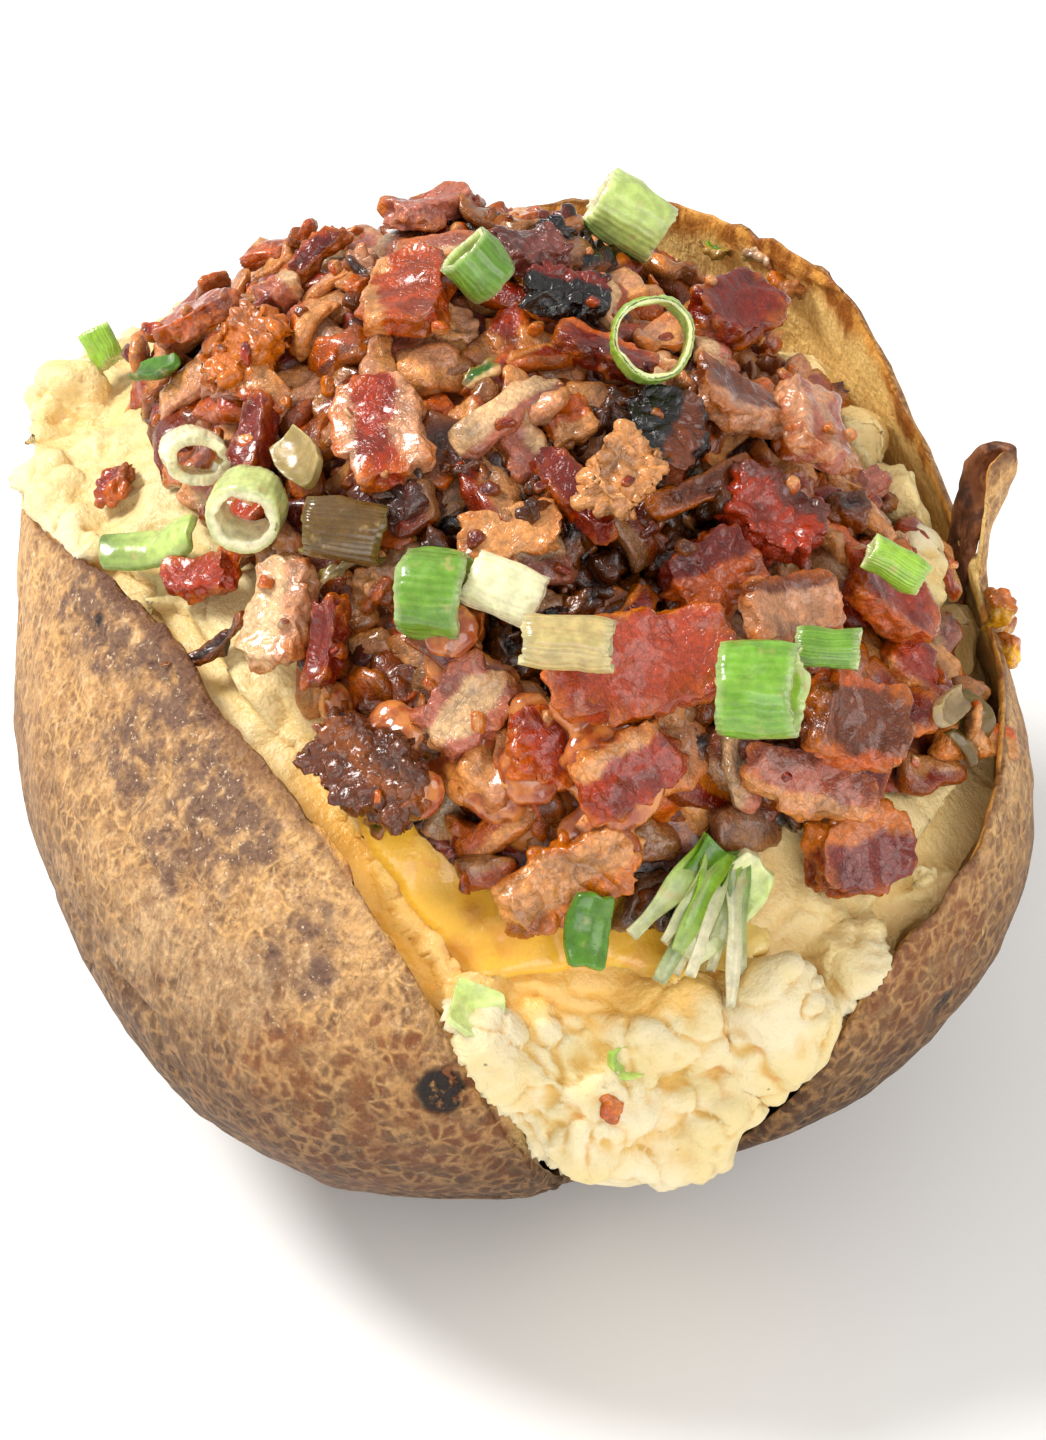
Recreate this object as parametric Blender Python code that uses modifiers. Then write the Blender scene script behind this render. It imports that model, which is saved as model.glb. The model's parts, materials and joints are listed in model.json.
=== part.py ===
"""A loaded baked potato: a russet split along its top and squeezed open, with fluffed flesh,
a blanket of melted cheese, a heap of chopped bacon and the larger toppings that lie on it.

Metres, +Z up. X runs along the potato, and its open end, where the flesh spills out, is at +X.
The origin is the middle of the object's box, on the surface that the potato rests on.
"""

import math

import bpy
import bmesh
from mathutils import Vector, noise
from mathutils.bvhtree import BVHTree

MM = 0.001

# The jacket, squeezed open
HALF_LENGTH = 56.2 * MM
HALF_WIDTH = 48.2 * MM
BELLY = 34.6 * MM  # height of the widest level
FLAT_DEPTH = 1.6 * MM  # how much the potato's weight has flattened its base
PLAN_POWER = 2.28  # 2 is an ellipse in plan, and more is boxier
EGG = 0.12  # how much wider the +X end is
SKIN_THICKNESS = 1.2 * MM
DENT_DEPTH = 0.9 * MM
DENT_SPAN = 26 * MM

# The tables below run round the potato as (azimuth in degrees from +X, value).
# How strongly the wall leans in above the belly: 0.6 makes an oval, and 0 a wall that stands up
WALL_LEANS = (
    (0, 0.34),
    (30, 0.26),
    (60, 0.24),
    (80, 0.14),
    (100, 0.04),
    (135, 0.06),
    (180, 0.10),
    (222, 0.0),
    (240, 0.14),
    (256, 0.40),
    (285, 0.60),
    (325, 0.55),
)
# Height of the split's edge, in millimetres
RIM_HEIGHTS = (
    (-15, 10),
    (-7, 9),
    (0, 12),
    (7, 26),
    (14, 37),
    (20, 41),
    (34, 44),
    (46, 49),
    (62, 50),
    (76, 55),
    (87, 62),
    (100, 69),
    (123, 69),
    (135, 65.5),
    (155, 61),
    (180, 55),
    (222, 51),
    (245, 56),
    (264, 59),
    (284, 58),
    (309, 56),
    (318, 53),
    (326, 48),
    (334, 38),
    (339, 26),
)
# Height at which the flesh turns from the wall into the mound, in millimetres
FLESH_HEIGHTS = (
    (-9, 34),
    (12, 36),
    (30, 40),
    (62, 43),
    (90, 52),
    (118, 61),
    (150, 61),
    (185, 55),
    (215, 57),
    (236, 58),
    (256, 57),
    (285, 57),
    (312, 54),
    (332, 43),
)
# How far the cheese reaches, as a share of the way from the middle to the flesh's edge
CHEESE_REACH = (
    (-40, 0.91),
    (-15, 0.88),
    (10, 0.90),
    (40, 0.95),
    (100, 0.94),
    (180, 0.93),
    (225, 0.92),
    (285, 0.91),
)
# How far the bacon reaches, as a share of the cheese's reach
HEAP_REACH = (
    (-60, 0.84),
    (-25, 0.90),
    (-5, 0.93),
    (15, 0.88),
    (45, 0.97),
    (75, 0.88),
    (92, 0.86),
    (120, 0.95),
    (180, 0.95),
    (222, 0.86),
    (250, 0.80),
    (280, 0.84),
)

# The mound of flesh
GAP = 0.45 * MM  # between pieces that touch
CREST = 68 * MM
CREST_X, CREST_Y = -10 * MM, 2 * MM
FALL_X, FALL_Y = 6.6, 6.8  # metres of fall for each square metre
EDGE_POWER = 9  # how plump the mound is at its edge
SPILL = 2.4 * MM  # how far the flesh bulges out of the jacket's inner face where it stands above it
SPILL_START, SPILL_RISE = 2 * MM, 6 * MM  # it starts this far above the edge, and takes this much more
STEEP_STEP = math.radians(2.8)  # the flesh clears the split's edge this far to either side
CLEARANCE = 1.1 * MM  # between the flesh and the jacket's inner face
LUMP_HEIGHT = 1.6 * MM
LUMP_SPAN = 9 * MM

CHEESE_THICKNESS = 1.3 * MM

HEAP_THICKNESS = 11.5 * MM
HEAP_EDGE = 1.8 * MM
HEAP_LUMP = 1.3 * MM
HEAP_LUMP_SPAN = 8 * MM

# The strip of skin that has torn loose beside the split
STRIP_AZIMUTH = math.radians(71)
STRIP_WIDTH, STRIP_THICKNESS = 3.6 * MM, 1.0 * MM
STRIP_HEIGHTS = (44, 49, 54, 58, 62, 65)  # millimetres
STRIP_LEANS = (-0.6, -0.3, 1.0, 3.2, 5.6, 7.0)  # millimetres out from the wall's face
STRIP_TWIST = math.radians(16)  # from each height to the next

COLUMNS = 48
CROWDING = 0.38  # how much closer together the columns stand round the split's low end
NOTCH_AZIMUTH = math.radians(-4)
JACKET_ROWS = 11
FLESH_ROWS = (0.2, 0.4, 0.6, 0.75, 0.88, 1.0)  # shares of the turn up to the jacket's edge
BULGE_ROWS = (0.25, 0.6, 1.0)  # shares of the height from there to the mound
HEAP_ROWS = (0.22, 0.44, 0.66, 0.86, 1.0)  # shares of the bacon's reach
CHEESE_ROWS = (0.5, 1.0)  # shares of the way from there to the cheese's edge
BARE_ROWS = (0.3, 0.62, 0.86)  # shares of the way from there to the flesh's edge

# The larger toppings, lowest first. Each is dropped onto what lies below it: where its middle is in
# plan and its size, in millimetres, then the way its length points (azimuth, climb) and its roll about
# that, in degrees. The last number is how far a flat piece's ends rise, or a tube's wall, in millimetres.
BACON = (
    # x, y, azimuth, climb, roll, length, width, thickness, bend
    (24.5, 17.5, 54, -30, 16, 10, 7.5, 3.5, 0.5),
    (28.5, 9.5, 100, 5, 37, 9, 6.5, 3.5, -0.5),
    (17, 10, 138, 15, 20, 9, 7.5, 4, 0.5),
    (13, 20, 67, -32, 2, 10, 7, 2.6, 0.5),
    (-8.5, 8.5, 93, -11, -5, 8, 5.5, 2.8, 0.4),
    (17, -24, 140, 47, -23, 8.5, 3.6, 2.5, 0.3),
    (29, -25, 23, -7, 46, 13, 7.5, 3.6, 0.6),
    (30, -16, 97, 34, 35, 9, 7, 2.6, 0.8),
    (11.5, -26.5, 136, 39, -18, 11, 6.5, 2.6, 0.8),
    (0, -30, 42, 24, 34, 8.5, 4, 2.2, 0.3),
    (44, -12, 86, 22, 60, 13, 7, 3.4, 0.8),
    (46, 17, 95, -14, 52, 10.5, 7.5, 3.4, 0.5),
    (44, 12, 65, -24, 42, 13, 5.4, 2.6, -0.5),
    (44, 16.5, 77, -33, 38, 10.5, 9, 3, 1.2),
    (37.5, -8, 77, -13, 38, 13.5, 8, 2.8, 1.0),
    (43, -6, 97, 11, 48, 9.5, 6.5, 2.8, 0.8),
    (37.5, -2, 88, -4, 40, 18, 9.5, 2.4, 1.5),
    (35, 14, 94, -10, 42, 9.5, 6.5, 2.4, 1.4),
    (30, 28, 70, -45, 19, 10.5, 7, 2.8, 0.6),
    (20, -0.5, -165, 20, -4, 11, 3.2, 2.4, 0.3),
    (23, 3, 128, 15, 26, 7.5, 6, 3, 0.4),
    (20.5, -7, 73, 7, 31, 9, 5, 2.2, 0.4),
    (6, 9.5, 41, -12, -4, 10, 3.8, 2.8, 0.3),
    (6, -13.5, 171, 12, -21, 12, 8.5, 2.6, 0.6),
    (-7, -5, 150, 2, -7, 11.5, 8, 2.4, 0.5),
    (-14, -19, 102, 37, -12, 9, 8, 3.4, 0.6),
    (-26.5, -19.5, 50, 34, 0, 9.5, 4.8, 2.4, 0.3),
    (-5, -22, 144, 28, -29, 8.5, 3.4, 2.6, 0.3),
    (-22, 4, 97, -3, -12, 8.5, 6, 2.5, 0.5),
    (-2, 27.5, 119, -8, 22, 10.5, 7.5, 3.2, 0.6),
    (18, 25.5, 162, 1, 41, 10.5, 6.4, 2.6, 0.6),
    (-1.5, 8.5, 68, -15, 1, 8, 5, 2.6, 0.6),
)
TUBES = (
    # x, y, azimuth, climb, roll, length, width, height, wall
    (-4, 1, -136, 45, 3, 4.5, 6.8, 6.2, 0.8),
    (12.5, 11, -25, 40, 0, 2.6, 8.5, 8.3, 0.8),
    (3, -26, -35, 15, 7, 4, 8, 7.6, 1.3),
    (23.5, -16, 55, 4, 34, 5.6, 9, 7.6, 1.0),
    (26.5, -10.5, 48, -12, 32, 6.6, 5.4, 4.6, 1.0),
    (38.5, -10, 62, -3, 35, 8, 5.4, 4.6, 1.2),
    (46.5, 5, 54, 5, 39, 7, 9.4, 8.2, 1.0),
    (41.5, 14.5, 56, 1, 35, 5.6, 3.8, 3.4, 0.7),
    (32, 27, 45, -23, -9, 6, 3.8, 3.4, 0.8),
    (-8, -27, 14, 24, -24, 3, 6.4, 5.4, 1.2),
    (-14.5, 22, -127, 29, -64, 7, 7.6, 6.8, 1.2),
    (-41.5, -24.5, 17, -42, 1, 4, 3.6, 3.4, 0.8),
    (12.5, -20, 55, -4, 42, 7.4, 6.6, 4.6, 0.9),
)
LEAVES = (
    # x, y, azimuth, climb, roll, length, width, thickness, bend
    (47, 1.5, 109, 28, 51, 12.5, 5.5, 1.4, 0.8),
    (49, -12.5, 146, 45, 28, 7.4, 4.4, 0.9, 0.6),
    (47, -23, 136, 20, 24, 5.6, 5.2, 0.9, 0.5),
    (53, -10, 85, -10, 48, 5.6, 2.8, 0.8, 0.4),
    (-7, -32.5, 50, 25, 24, 11.5, 4.4, 0.9, 1.0),
    (-24, -24.5, 33, 33, 16, 6.2, 3.4, 0.9, 0.6),
    (1.5, -19.5, 3, 1, 38, 7.6, 4, 0.9, 0.6),
    (38, 33, 134, 2, 49, 7.4, 5.4, 1.0, 1.0),
    (38.5, 29.5, 125, -10, 52, 5.6, 3, 1.0, 0.6),
)
PIECE_STEPS = 4  # along a flat piece
TUBE_SIDES = 10
RAGGED = 0.9 * MM  # how uneven a flat piece's outline is
RAGGED_SPAN = 4.5 * MM
WIDE = 6 * MM  # a narrower piece has an evener outline
SLANT = 0.07  # how far from square a tube's ends are cut, as a share of its width
REST_GAP = 0.6 * MM  # between a topping and what it rests on
DROP_HEIGHT = 150 * MM

SHARP = math.radians(40)  # an edge is shaded sharp from here
ROUGHNESS = 0.6

SKIN_BROWN = (0.36, 0.21, 0.11)
FLESH_CREAM = (0.90, 0.82, 0.58)
CHEESE_ORANGE = (0.90, 0.52, 0.12)
BACON_RED = (0.45, 0.14, 0.07)
SCALLION_GREEN = (0.38, 0.58, 0.12)


def material(name, colour):
    """A Principled material without metal."""
    made = bpy.data.materials.new(name)
    made.use_nodes = True
    shader = made.node_tree.nodes["Principled BSDF"]
    shader.inputs["Base Color"].default_value = (*colour, 1)
    shader.inputs["Roughness"].default_value = ROUGHNESS
    shader.inputs["Metallic"].default_value = 0
    return made


def round_value(table, azimuth):
    """Reads a table of (degrees, value) all the way round, as a smooth closed curve."""
    degrees = math.degrees(azimuth) % 360
    points = sorted((d % 360, v) for d, v in table)
    count = len(points)
    after = next((i for i, (d, _) in enumerate(points) if d > degrees), 0)
    near = [points[(after + k) % count] for k in (-2, -1, 0, 1)]
    span = (near[2][0] - near[1][0]) % 360
    t = ((degrees - near[1][0]) % 360) / span
    before_span = (near[1][0] - near[0][0]) % 360
    after_span = (near[3][0] - near[2][0]) % 360
    slope_in = (near[2][1] - near[0][1]) / (before_span + span) * span
    slope_out = (near[3][1] - near[1][1]) / (span + after_span) * span
    return (
        (2 * t**3 - 3 * t**2 + 1) * near[1][1]
        + (t**3 - 2 * t**2 + t) * slope_in
        + (3 * t**2 - 2 * t**3) * near[2][1]
        + (t**3 - t**2) * slope_out
    )


def rim_height(azimuth):
    return round_value(RIM_HEIGHTS, azimuth) * MM


def plan_point(azimuth):
    """The jacket's outline at its belly."""
    c, s = math.cos(azimuth), math.sin(azimuth)
    radius = (abs(c) ** PLAN_POWER + abs(s) ** PLAN_POWER) ** (-1 / PLAN_POWER)
    x = HALF_LENGTH * radius * c
    return x, HALF_WIDTH * radius * s * (1 + EGG * x / HALF_LENGTH)


def bare_wall(azimuth, turn):
    """A point on the undented jacket. turn is 0 at the base, 1 at the belly, and goes on up the wall."""
    if turn <= 1:
        angle = turn * math.pi / 2
        share, z = math.sin(angle), BELLY * (1 - math.cos(angle))
    else:
        rise = turn - 1
        lean = round_value(WALL_LEANS, azimuth)
        share, z = 1 - lean * rise**2, BELLY * (1 + rise)
    x, y = plan_point(azimuth)
    return Vector((x * share, y * share, z))


def turn_at(height):
    """The turn whose point lies at this height above the base."""
    z = height + FLAT_DEPTH
    if z <= BELLY:
        return math.acos(1 - z / BELLY) / (math.pi / 2)
    return z / BELLY


def wall_point(azimuth, turn, inset=0.0):
    """A point on the jacket's outer face, or this far inside it, with its dents and flattened base."""
    step = 0.01
    turn = max(turn, 0.0)
    point = bare_wall(azimuth, turn)
    if turn < 0.02:
        normal = Vector((0, 0, -1))
    else:
        along = bare_wall(azimuth + step, turn) - bare_wall(azimuth - step, turn)
        up = bare_wall(azimuth, turn + step) - bare_wall(azimuth, turn - step)
        normal = along.cross(up).normalized()
    dent = DENT_DEPTH * noise.noise(point / DENT_SPAN)
    point = point + normal * (dent - inset)
    point.z = max(point.z - FLAT_DEPTH, inset)
    return point


def flesh_levels(azimuth):
    """The flesh's side from the base up, as (turn, how far it bulges out of the jacket)."""
    rim = max(rim_height(azimuth + step) for step in (-STEEP_STEP, 0, STEEP_STEP))
    edge = round_value(FLESH_HEIGHTS, azimuth) * MM
    low = min(rim + GAP, edge - 3 * MM)
    levels = [(turn_at(low) * share, 0) for share in FLESH_ROWS]
    for share in BULGE_ROWS:
        height = low + (edge - low) * share
        rise = min(1, max(0, (height - rim - SPILL_START) / SPILL_RISE))
        levels.append((turn_at(height), SPILL * rise * (2 - rise)))
    return levels


def flesh_wall(azimuth, level):
    """A point on the flesh's side: inside the jacket, or bulging out above the jacket's edge."""
    turn, bulge = flesh_levels(azimuth)[level]
    return wall_point(azimuth, turn, SKIN_THICKNESS + CLEARANCE - bulge)


def mound_point(azimuth, reach):
    """A point on top of the flesh. reach is 0 at the middle and 1 at the flesh's edge."""
    edge = flesh_wall(azimuth, -1)
    inner = wall_point(azimuth, flesh_levels(azimuth)[-1][0], SKIN_THICKNESS + CLEARANCE)
    plan = inner * reach + (edge - inner) * reach**12
    x, y = plan.x, plan.y
    dome = CREST - FALL_X * (x - CREST_X) ** 2 - FALL_Y * (y - CREST_Y) ** 2
    z = edge.z + (dome - edge.z) * (1 - reach**EDGE_POWER)
    lump = noise.noise(Vector((x, y, z)) / LUMP_SPAN)
    return Vector((x, y, z + LUMP_HEIGHT * lump * (1 - reach**14)))


def heap_reach(azimuth):
    return round_value(CHEESE_REACH, azimuth) * round_value(HEAP_REACH, azimuth)


def reaches(azimuth):
    """The rows over the mound: those under the bacon, then the cheese's, then the bare ones."""
    heap, cheese = heap_reach(azimuth), round_value(CHEESE_REACH, azimuth)
    return (
        [heap * share for share in HEAP_ROWS]
        + [heap + (cheese - heap) * share for share in CHEESE_ROWS]
        + [cheese + (1 - cheese) * share for share in BARE_ROWS]
    )


def azimuths():
    """The directions of the columns."""
    even = [2 * math.pi * i / COLUMNS for i in range(COLUMNS)]
    return [a - CROWDING * math.sin(a - NOTCH_AZIMUTH) for a in even]


def loft(name, rings, bottom, top=None):
    """A surface through rings of points, closed at the bottom by a point, and at the top if one is given."""
    mesh = bmesh.new()
    levels = [[mesh.verts.new(p) for p in ring] for ring in rings]
    count = len(rings[0])
    for lower, upper in zip(levels, levels[1:]):
        for i in range(count):
            j = (i + 1) % count
            mesh.faces.new((lower[i], lower[j], upper[j], upper[i]))
    for point, level, flip in ((bottom, levels[0], True), (top, levels[-1], False)):
        if point is None:
            continue
        tip = mesh.verts.new(point)
        for i in range(count):
            pair = (level[i], level[(i + 1) % count])
            mesh.faces.new((*(reversed(pair) if flip else pair), tip))
    return finish_mesh(name, mesh)


def finish_mesh(name, mesh, collection="baked_potato"):
    """Turns a bmesh into an object of this collection."""
    bmesh.ops.triangulate(mesh, faces=mesh.faces, quad_method="SHORT_EDGE")
    data = bpy.data.meshes.new(name)
    mesh.to_mesh(data)
    mesh.free()
    data.shade_smooth()
    data.set_sharp_from_angle(angle=SHARP)
    obj = bpy.data.objects.new(name, data)
    bpy.data.collections[collection].objects.link(obj)
    return obj


def thicken(obj, thickness, offset):
    """Gives a surface its thickness: inwards with offset -1, and to both sides with 0."""
    solid = obj.modifiers.new("thickness", "SOLIDIFY")
    solid.thickness = thickness
    solid.offset = offset


def make_jacket():
    """The skin: an open surface up to the split, thickened inwards, with the torn strip joined on."""
    rings = [
        [wall_point(a, turn_at(rim_height(a)) * row / JACKET_ROWS) for a in azimuths()]
        for row in range(1, JACKET_ROWS + 1)
    ]
    jacket = loft("skin", rings, Vector((0, 0, 0)))
    thicken(jacket, SKIN_THICKNESS, -1)
    join = jacket.modifiers.new("torn strip", "BOOLEAN")
    join.operation = "UNION"
    join.object = make_torn_strip()
    return jacket


def make_torn_strip():
    """A strip of skin that stands loose beside the split and twists as it rises."""
    out = Vector((math.cos(STRIP_AZIMUTH), math.sin(STRIP_AZIMUTH), 0))
    along = Vector((-out.y, out.x, 0))
    mesh = bmesh.new()
    sides = []
    for k, (height, lean) in enumerate(zip(STRIP_HEIGHTS, STRIP_LEANS)):
        middle = wall_point(STRIP_AZIMUTH, turn_at(height * MM)) + out * lean * MM
        twist = STRIP_TWIST * max(0, k - 1)
        half = (along * math.cos(twist) + out * math.sin(twist)) * STRIP_WIDTH * (0.45 + 0.05 * k)
        sides.append((mesh.verts.new(middle - half), mesh.verts.new(middle + half)))
    for lower, upper in zip(sides, sides[1:]):
        mesh.faces.new((lower[1], lower[0], upper[0], upper[1]))
    strip = finish_mesh("torn_strip", mesh, "joined")
    thicken(strip, STRIP_THICKNESS, 0)
    strip.hide_render = True
    strip.display_type = "WIRE"
    return strip


def make_flesh():
    """The flesh: down inside the jacket, and a mound above it."""
    sides = [[flesh_wall(a, k) for a in azimuths()] for k in range(len(flesh_levels(0)))]
    mound = [
        [mound_point(a, reaches(a)[row]) for a in azimuths()]
        for row in reversed(range(len(reaches(0))))
    ]
    bottom = wall_point(0, 0, SKIN_THICKNESS + CLEARANCE)
    return loft("flesh", sides + mound, bottom, mound_point(0, 0))


def make_layer(name, rows, low, high):
    """A closed layer over the mound, out to this many of its rows.

    low and high give the heights of its two faces above the flesh for a point and a row.
    """

    def ring(height, row):
        made = []
        for a in azimuths():
            point = mound_point(a, reaches(a)[row])
            made.append(point + Vector((0, 0, height(point, row))))
        return made

    under = [ring(low, row) for row in range(rows)]
    over = [ring(high, row) for row in reversed(range(rows))]
    middle = mound_point(0, 0)
    floor = middle + Vector((0, 0, low(middle, -1)))
    roof = middle + Vector((0, 0, high(middle, -1)))
    return loft(name, under + over, floor, roof)


def cheese_top(point, row):
    """The cheese's top face, thinner at its edge."""
    last = len(HEAP_ROWS) + len(CHEESE_ROWS) - 1
    return GAP + CHEESE_THICKNESS * (0.5 if row == last else 1)


def heap_foot(point, row):
    return 2 * GAP + CHEESE_THICKNESS


def heap_top(point, row):
    """The heap's uneven top."""
    share = HEAP_ROWS[row] if row >= 0 else 0
    lump = noise.noise((point + Vector((0.3, 0.1, 0))) / HEAP_LUMP_SPAN)
    dome = HEAP_EDGE + (HEAP_THICKNESS - HEAP_EDGE) * (1 - share**2.2)
    return heap_foot(point, row) + dome + HEAP_LUMP * lump * (1 - 0.6 * share**4)


def make_cheese():
    """Melted cheese, between the flesh and the bacon."""
    rows = len(HEAP_ROWS) + len(CHEESE_ROWS)
    return make_layer("melted_cheese", rows, lambda point, row: GAP, cheese_top)


def make_heap():
    """The heap of chopped bacon, out to its uneven top."""
    return make_layer("bacon_heap", len(HEAP_ROWS), heap_foot, heap_top)


def flat_piece(name, size, bend, across, seed):
    """A flat piece of food with an uneven outline, this many steps wide."""
    length, width, thickness = size
    mesh = bmesh.new()
    bmesh.ops.create_grid(mesh, x_segments=PIECE_STEPS, y_segments=across, size=1)
    for vertex in mesh.verts:
        u, v = vertex.co.x, vertex.co.y
        x = u * length / 2 * (1 - 0.1 * v * v)
        y = v * width / 2 * (1 - 0.22 * u * u)
        place = Vector((x, y, 0)) / RAGGED_SPAN
        wobble = Vector([noise.noise(place + Vector((0, 7 * k, 3.7 * seed))) for k in range(3)])
        vertex.co = Vector((x, y, bend * (u * u - 0.5))) + wobble * RAGGED * min(1, width / WIDE)
    piece = finish_mesh(name, mesh)
    thicken(piece, thickness, 0)
    return piece


def tube(name, size, wall, seed):
    """A short length of scallion, along its X, with its ends cut a little aslant."""
    length, width, height = size
    mesh = bmesh.new()
    bmesh.ops.create_cone(mesh, segments=TUBE_SIDES, radius1=0.5, radius2=0.5, depth=1)
    for vertex in mesh.verts:
        y, z, x = vertex.co
        aslant = SLANT * width * math.sin(math.atan2(z, y) + seed)
        vertex.co = Vector((x * length + aslant, y * width, z * height))
    piece = finish_mesh(name, mesh)
    thicken(piece, wall, -1)
    return piece


def evaluated(obj):
    """An object in the world: its corners with the middles of its edges and faces, and its faces."""
    made = obj.evaluated_get(bpy.context.evaluated_depsgraph_get())
    mesh = made.to_mesh()
    corners = [made.matrix_world @ v.co for v in mesh.vertices]
    points = corners + [(corners[e.vertices[0]] + corners[e.vertices[1]]) / 2 for e in mesh.edges]
    points += [made.matrix_world @ p.center for p in mesh.polygons]
    tree = BVHTree.FromPolygons(corners, [tuple(p.vertices) for p in mesh.polygons])
    made.to_mesh_clear()
    return points, tree


def box_of(points):
    low = Vector([min(p[k] for p in points) for k in range(3)])
    high = Vector([max(p[k] for p in points) for k in range(3)])
    return low, high


def drop(piece, below):
    """Lowers a piece until it rests just above what lies below it."""
    bpy.context.view_layer.update()
    own_points, own_tree = evaluated(piece)
    low, high = box_of(own_points)
    fall = DROP_HEIGHT
    for points, tree in below:
        for p in own_points:
            hit = tree.ray_cast(p, Vector((0, 0, -1)))
            if hit[0]:
                fall = min(fall, hit[3])
        for p in points:
            if low.x < p.x < high.x and low.y < p.y < high.y:
                hit = own_tree.ray_cast(p, Vector((0, 0, 1)))
                if hit[0]:
                    fall = min(fall, hit[3])
    piece.location.z += REST_GAP - fall
    bpy.context.view_layer.update()


def make_toppings(base):
    """Bacon and scallion, each dropped onto the base and the pieces before it."""
    below = [evaluated(part) for part in base]
    kinds = (
        ("bacon", BACON, lambda name, size, last, seed: flat_piece(name, size, last, 2, seed)),
        ("scallion_leaf", LEAVES, lambda name, size, last, seed: flat_piece(name, size, last, 1, seed)),
        ("scallion_tube", TUBES, tube),
    )
    made = []
    for kind, table, make in kinds:
        for number, (x, y, azimuth, climb, roll, *size, last) in enumerate(table, 1):
            piece = make(f"{kind}_{number:02}", [value * MM for value in size], last * MM, number)
            piece.location = (x * MM, y * MM, DROP_HEIGHT)
            piece.rotation_euler = [math.radians(angle) for angle in (roll, -climb, azimuth)]
            drop(piece, below)
            below.append(evaluated(piece))
            made.append(piece)
    return made


def centre(parts):
    """Puts everything on an empty, so that the middle of the object's box in plan is the origin."""
    low, high = box_of([p for part in parts for p in evaluated(part)[0]])
    frame = bpy.data.objects.new("frame", None)
    bpy.context.scene.collection.objects.link(frame)
    for obj in bpy.data.objects:
        if obj != frame:
            obj.parent = frame
    frame.location = (-(low.x + high.x) / 2, -(low.y + high.y) / 2, 0)


def main():
    for obj in list(bpy.data.objects):
        bpy.data.objects.remove(obj)
    for name in ("baked_potato", "joined"):
        bpy.context.scene.collection.children.link(bpy.data.collections.new(name))
    base = [make_jacket(), make_flesh(), make_cheese(), make_heap()]
    toppings = make_toppings(base)
    colours = [SKIN_BROWN, FLESH_CREAM, CHEESE_ORANGE, BACON_RED]
    colours += [BACON_RED if t.name.startswith("bacon") else SCALLION_GREEN for t in toppings]
    for part, colour in zip(base + toppings, colours):
        part.data.materials.append(material(part.name, colour))
    centre(base + toppings)


main()
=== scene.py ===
"""The looks of the loaded baked potato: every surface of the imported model, remade as food.

Metres and +Z up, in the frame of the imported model. Each piece of the model is refined where it stands:
the jacket, the fluffed flesh, the melted cheese, the heap of chopped bacon, and the larger toppings.
Everything uneven comes from seeded noise, so the scene is the same each time.
"""

import json
import math
from contextlib import contextmanager

import bmesh
import bpy
import numpy as np
from mathutils import Matrix, Vector
from mathutils.bvhtree import BVHTree

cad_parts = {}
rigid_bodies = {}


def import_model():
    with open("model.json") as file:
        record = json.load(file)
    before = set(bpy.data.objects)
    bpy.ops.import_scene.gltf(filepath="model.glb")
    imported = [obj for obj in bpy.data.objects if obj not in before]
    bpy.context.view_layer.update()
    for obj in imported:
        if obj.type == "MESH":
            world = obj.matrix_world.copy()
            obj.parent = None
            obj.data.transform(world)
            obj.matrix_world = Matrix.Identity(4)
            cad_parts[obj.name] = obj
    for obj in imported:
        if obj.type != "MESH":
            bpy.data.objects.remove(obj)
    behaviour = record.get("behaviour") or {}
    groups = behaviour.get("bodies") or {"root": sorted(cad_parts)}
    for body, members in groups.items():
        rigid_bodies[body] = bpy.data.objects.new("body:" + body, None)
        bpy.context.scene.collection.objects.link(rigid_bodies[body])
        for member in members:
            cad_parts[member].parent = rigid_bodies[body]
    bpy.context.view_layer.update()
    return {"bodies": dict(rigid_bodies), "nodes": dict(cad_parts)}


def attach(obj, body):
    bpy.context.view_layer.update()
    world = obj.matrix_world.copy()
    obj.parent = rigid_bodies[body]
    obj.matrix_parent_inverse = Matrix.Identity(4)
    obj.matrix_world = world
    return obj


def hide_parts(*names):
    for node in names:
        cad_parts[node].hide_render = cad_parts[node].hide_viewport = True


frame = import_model()

MM = 0.001
TINY = 1e-9
WELD = 0.002 * MM  # corners this close are one
BODY = next(iter(frame["bodies"]))
NODES = frame["nodes"]

# Seeds of the random draws, and the cells in which the core and the glaze are remeshed
FLESH_SEED, SCATTER_SEED, SHRED_SEED = 11, 77, 55
CORE_CELL, GLAZE_CELL = 0.8 * MM, 0.5 * MM


# ---------------------------------------------------------------- noise on arrays of points


def lattice_values(cells, seed):
    """A repeatable value from -1 to 1 for each whole-numbered cell."""
    h = cells[..., 0] * 374761393 + cells[..., 1] * 668265263 + cells[..., 2] * 2147483647
    h = (h + seed * 1274126177) & 0xFFFFFFFF
    h = ((h ^ (h >> 13)) * 1274126177) & 0xFFFFFFFF
    h = ((h ^ (h >> 16)) * 2246822519) & 0xFFFFFFFF
    return ((h ^ (h >> 15)) & 0xFFFF) / 32767.5 - 1


def noise(points, span, seed=0):
    """Smooth noise from -1 to 1 whose lumps are about this span across."""
    p = np.asarray(points) / span + 1000.5
    cell = np.floor(p).astype(np.int64)
    t = p - cell
    t = t * t * (3 - 2 * t)
    total = 0
    for corner in np.ndindex(2, 2, 2):
        corner = np.array(corner)
        weight = np.prod(np.where(corner == 1, t, 1 - t), axis=-1)
        total = total + weight * lattice_values(cell + corner, seed)
    return total


def layered(points, span, layers=3, seed=0):
    """Noise with finer and weaker layers on top."""
    return sum(noise(points, span / 2**k, seed + 17 * k) * 0.55**k for k in range(layers))


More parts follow.
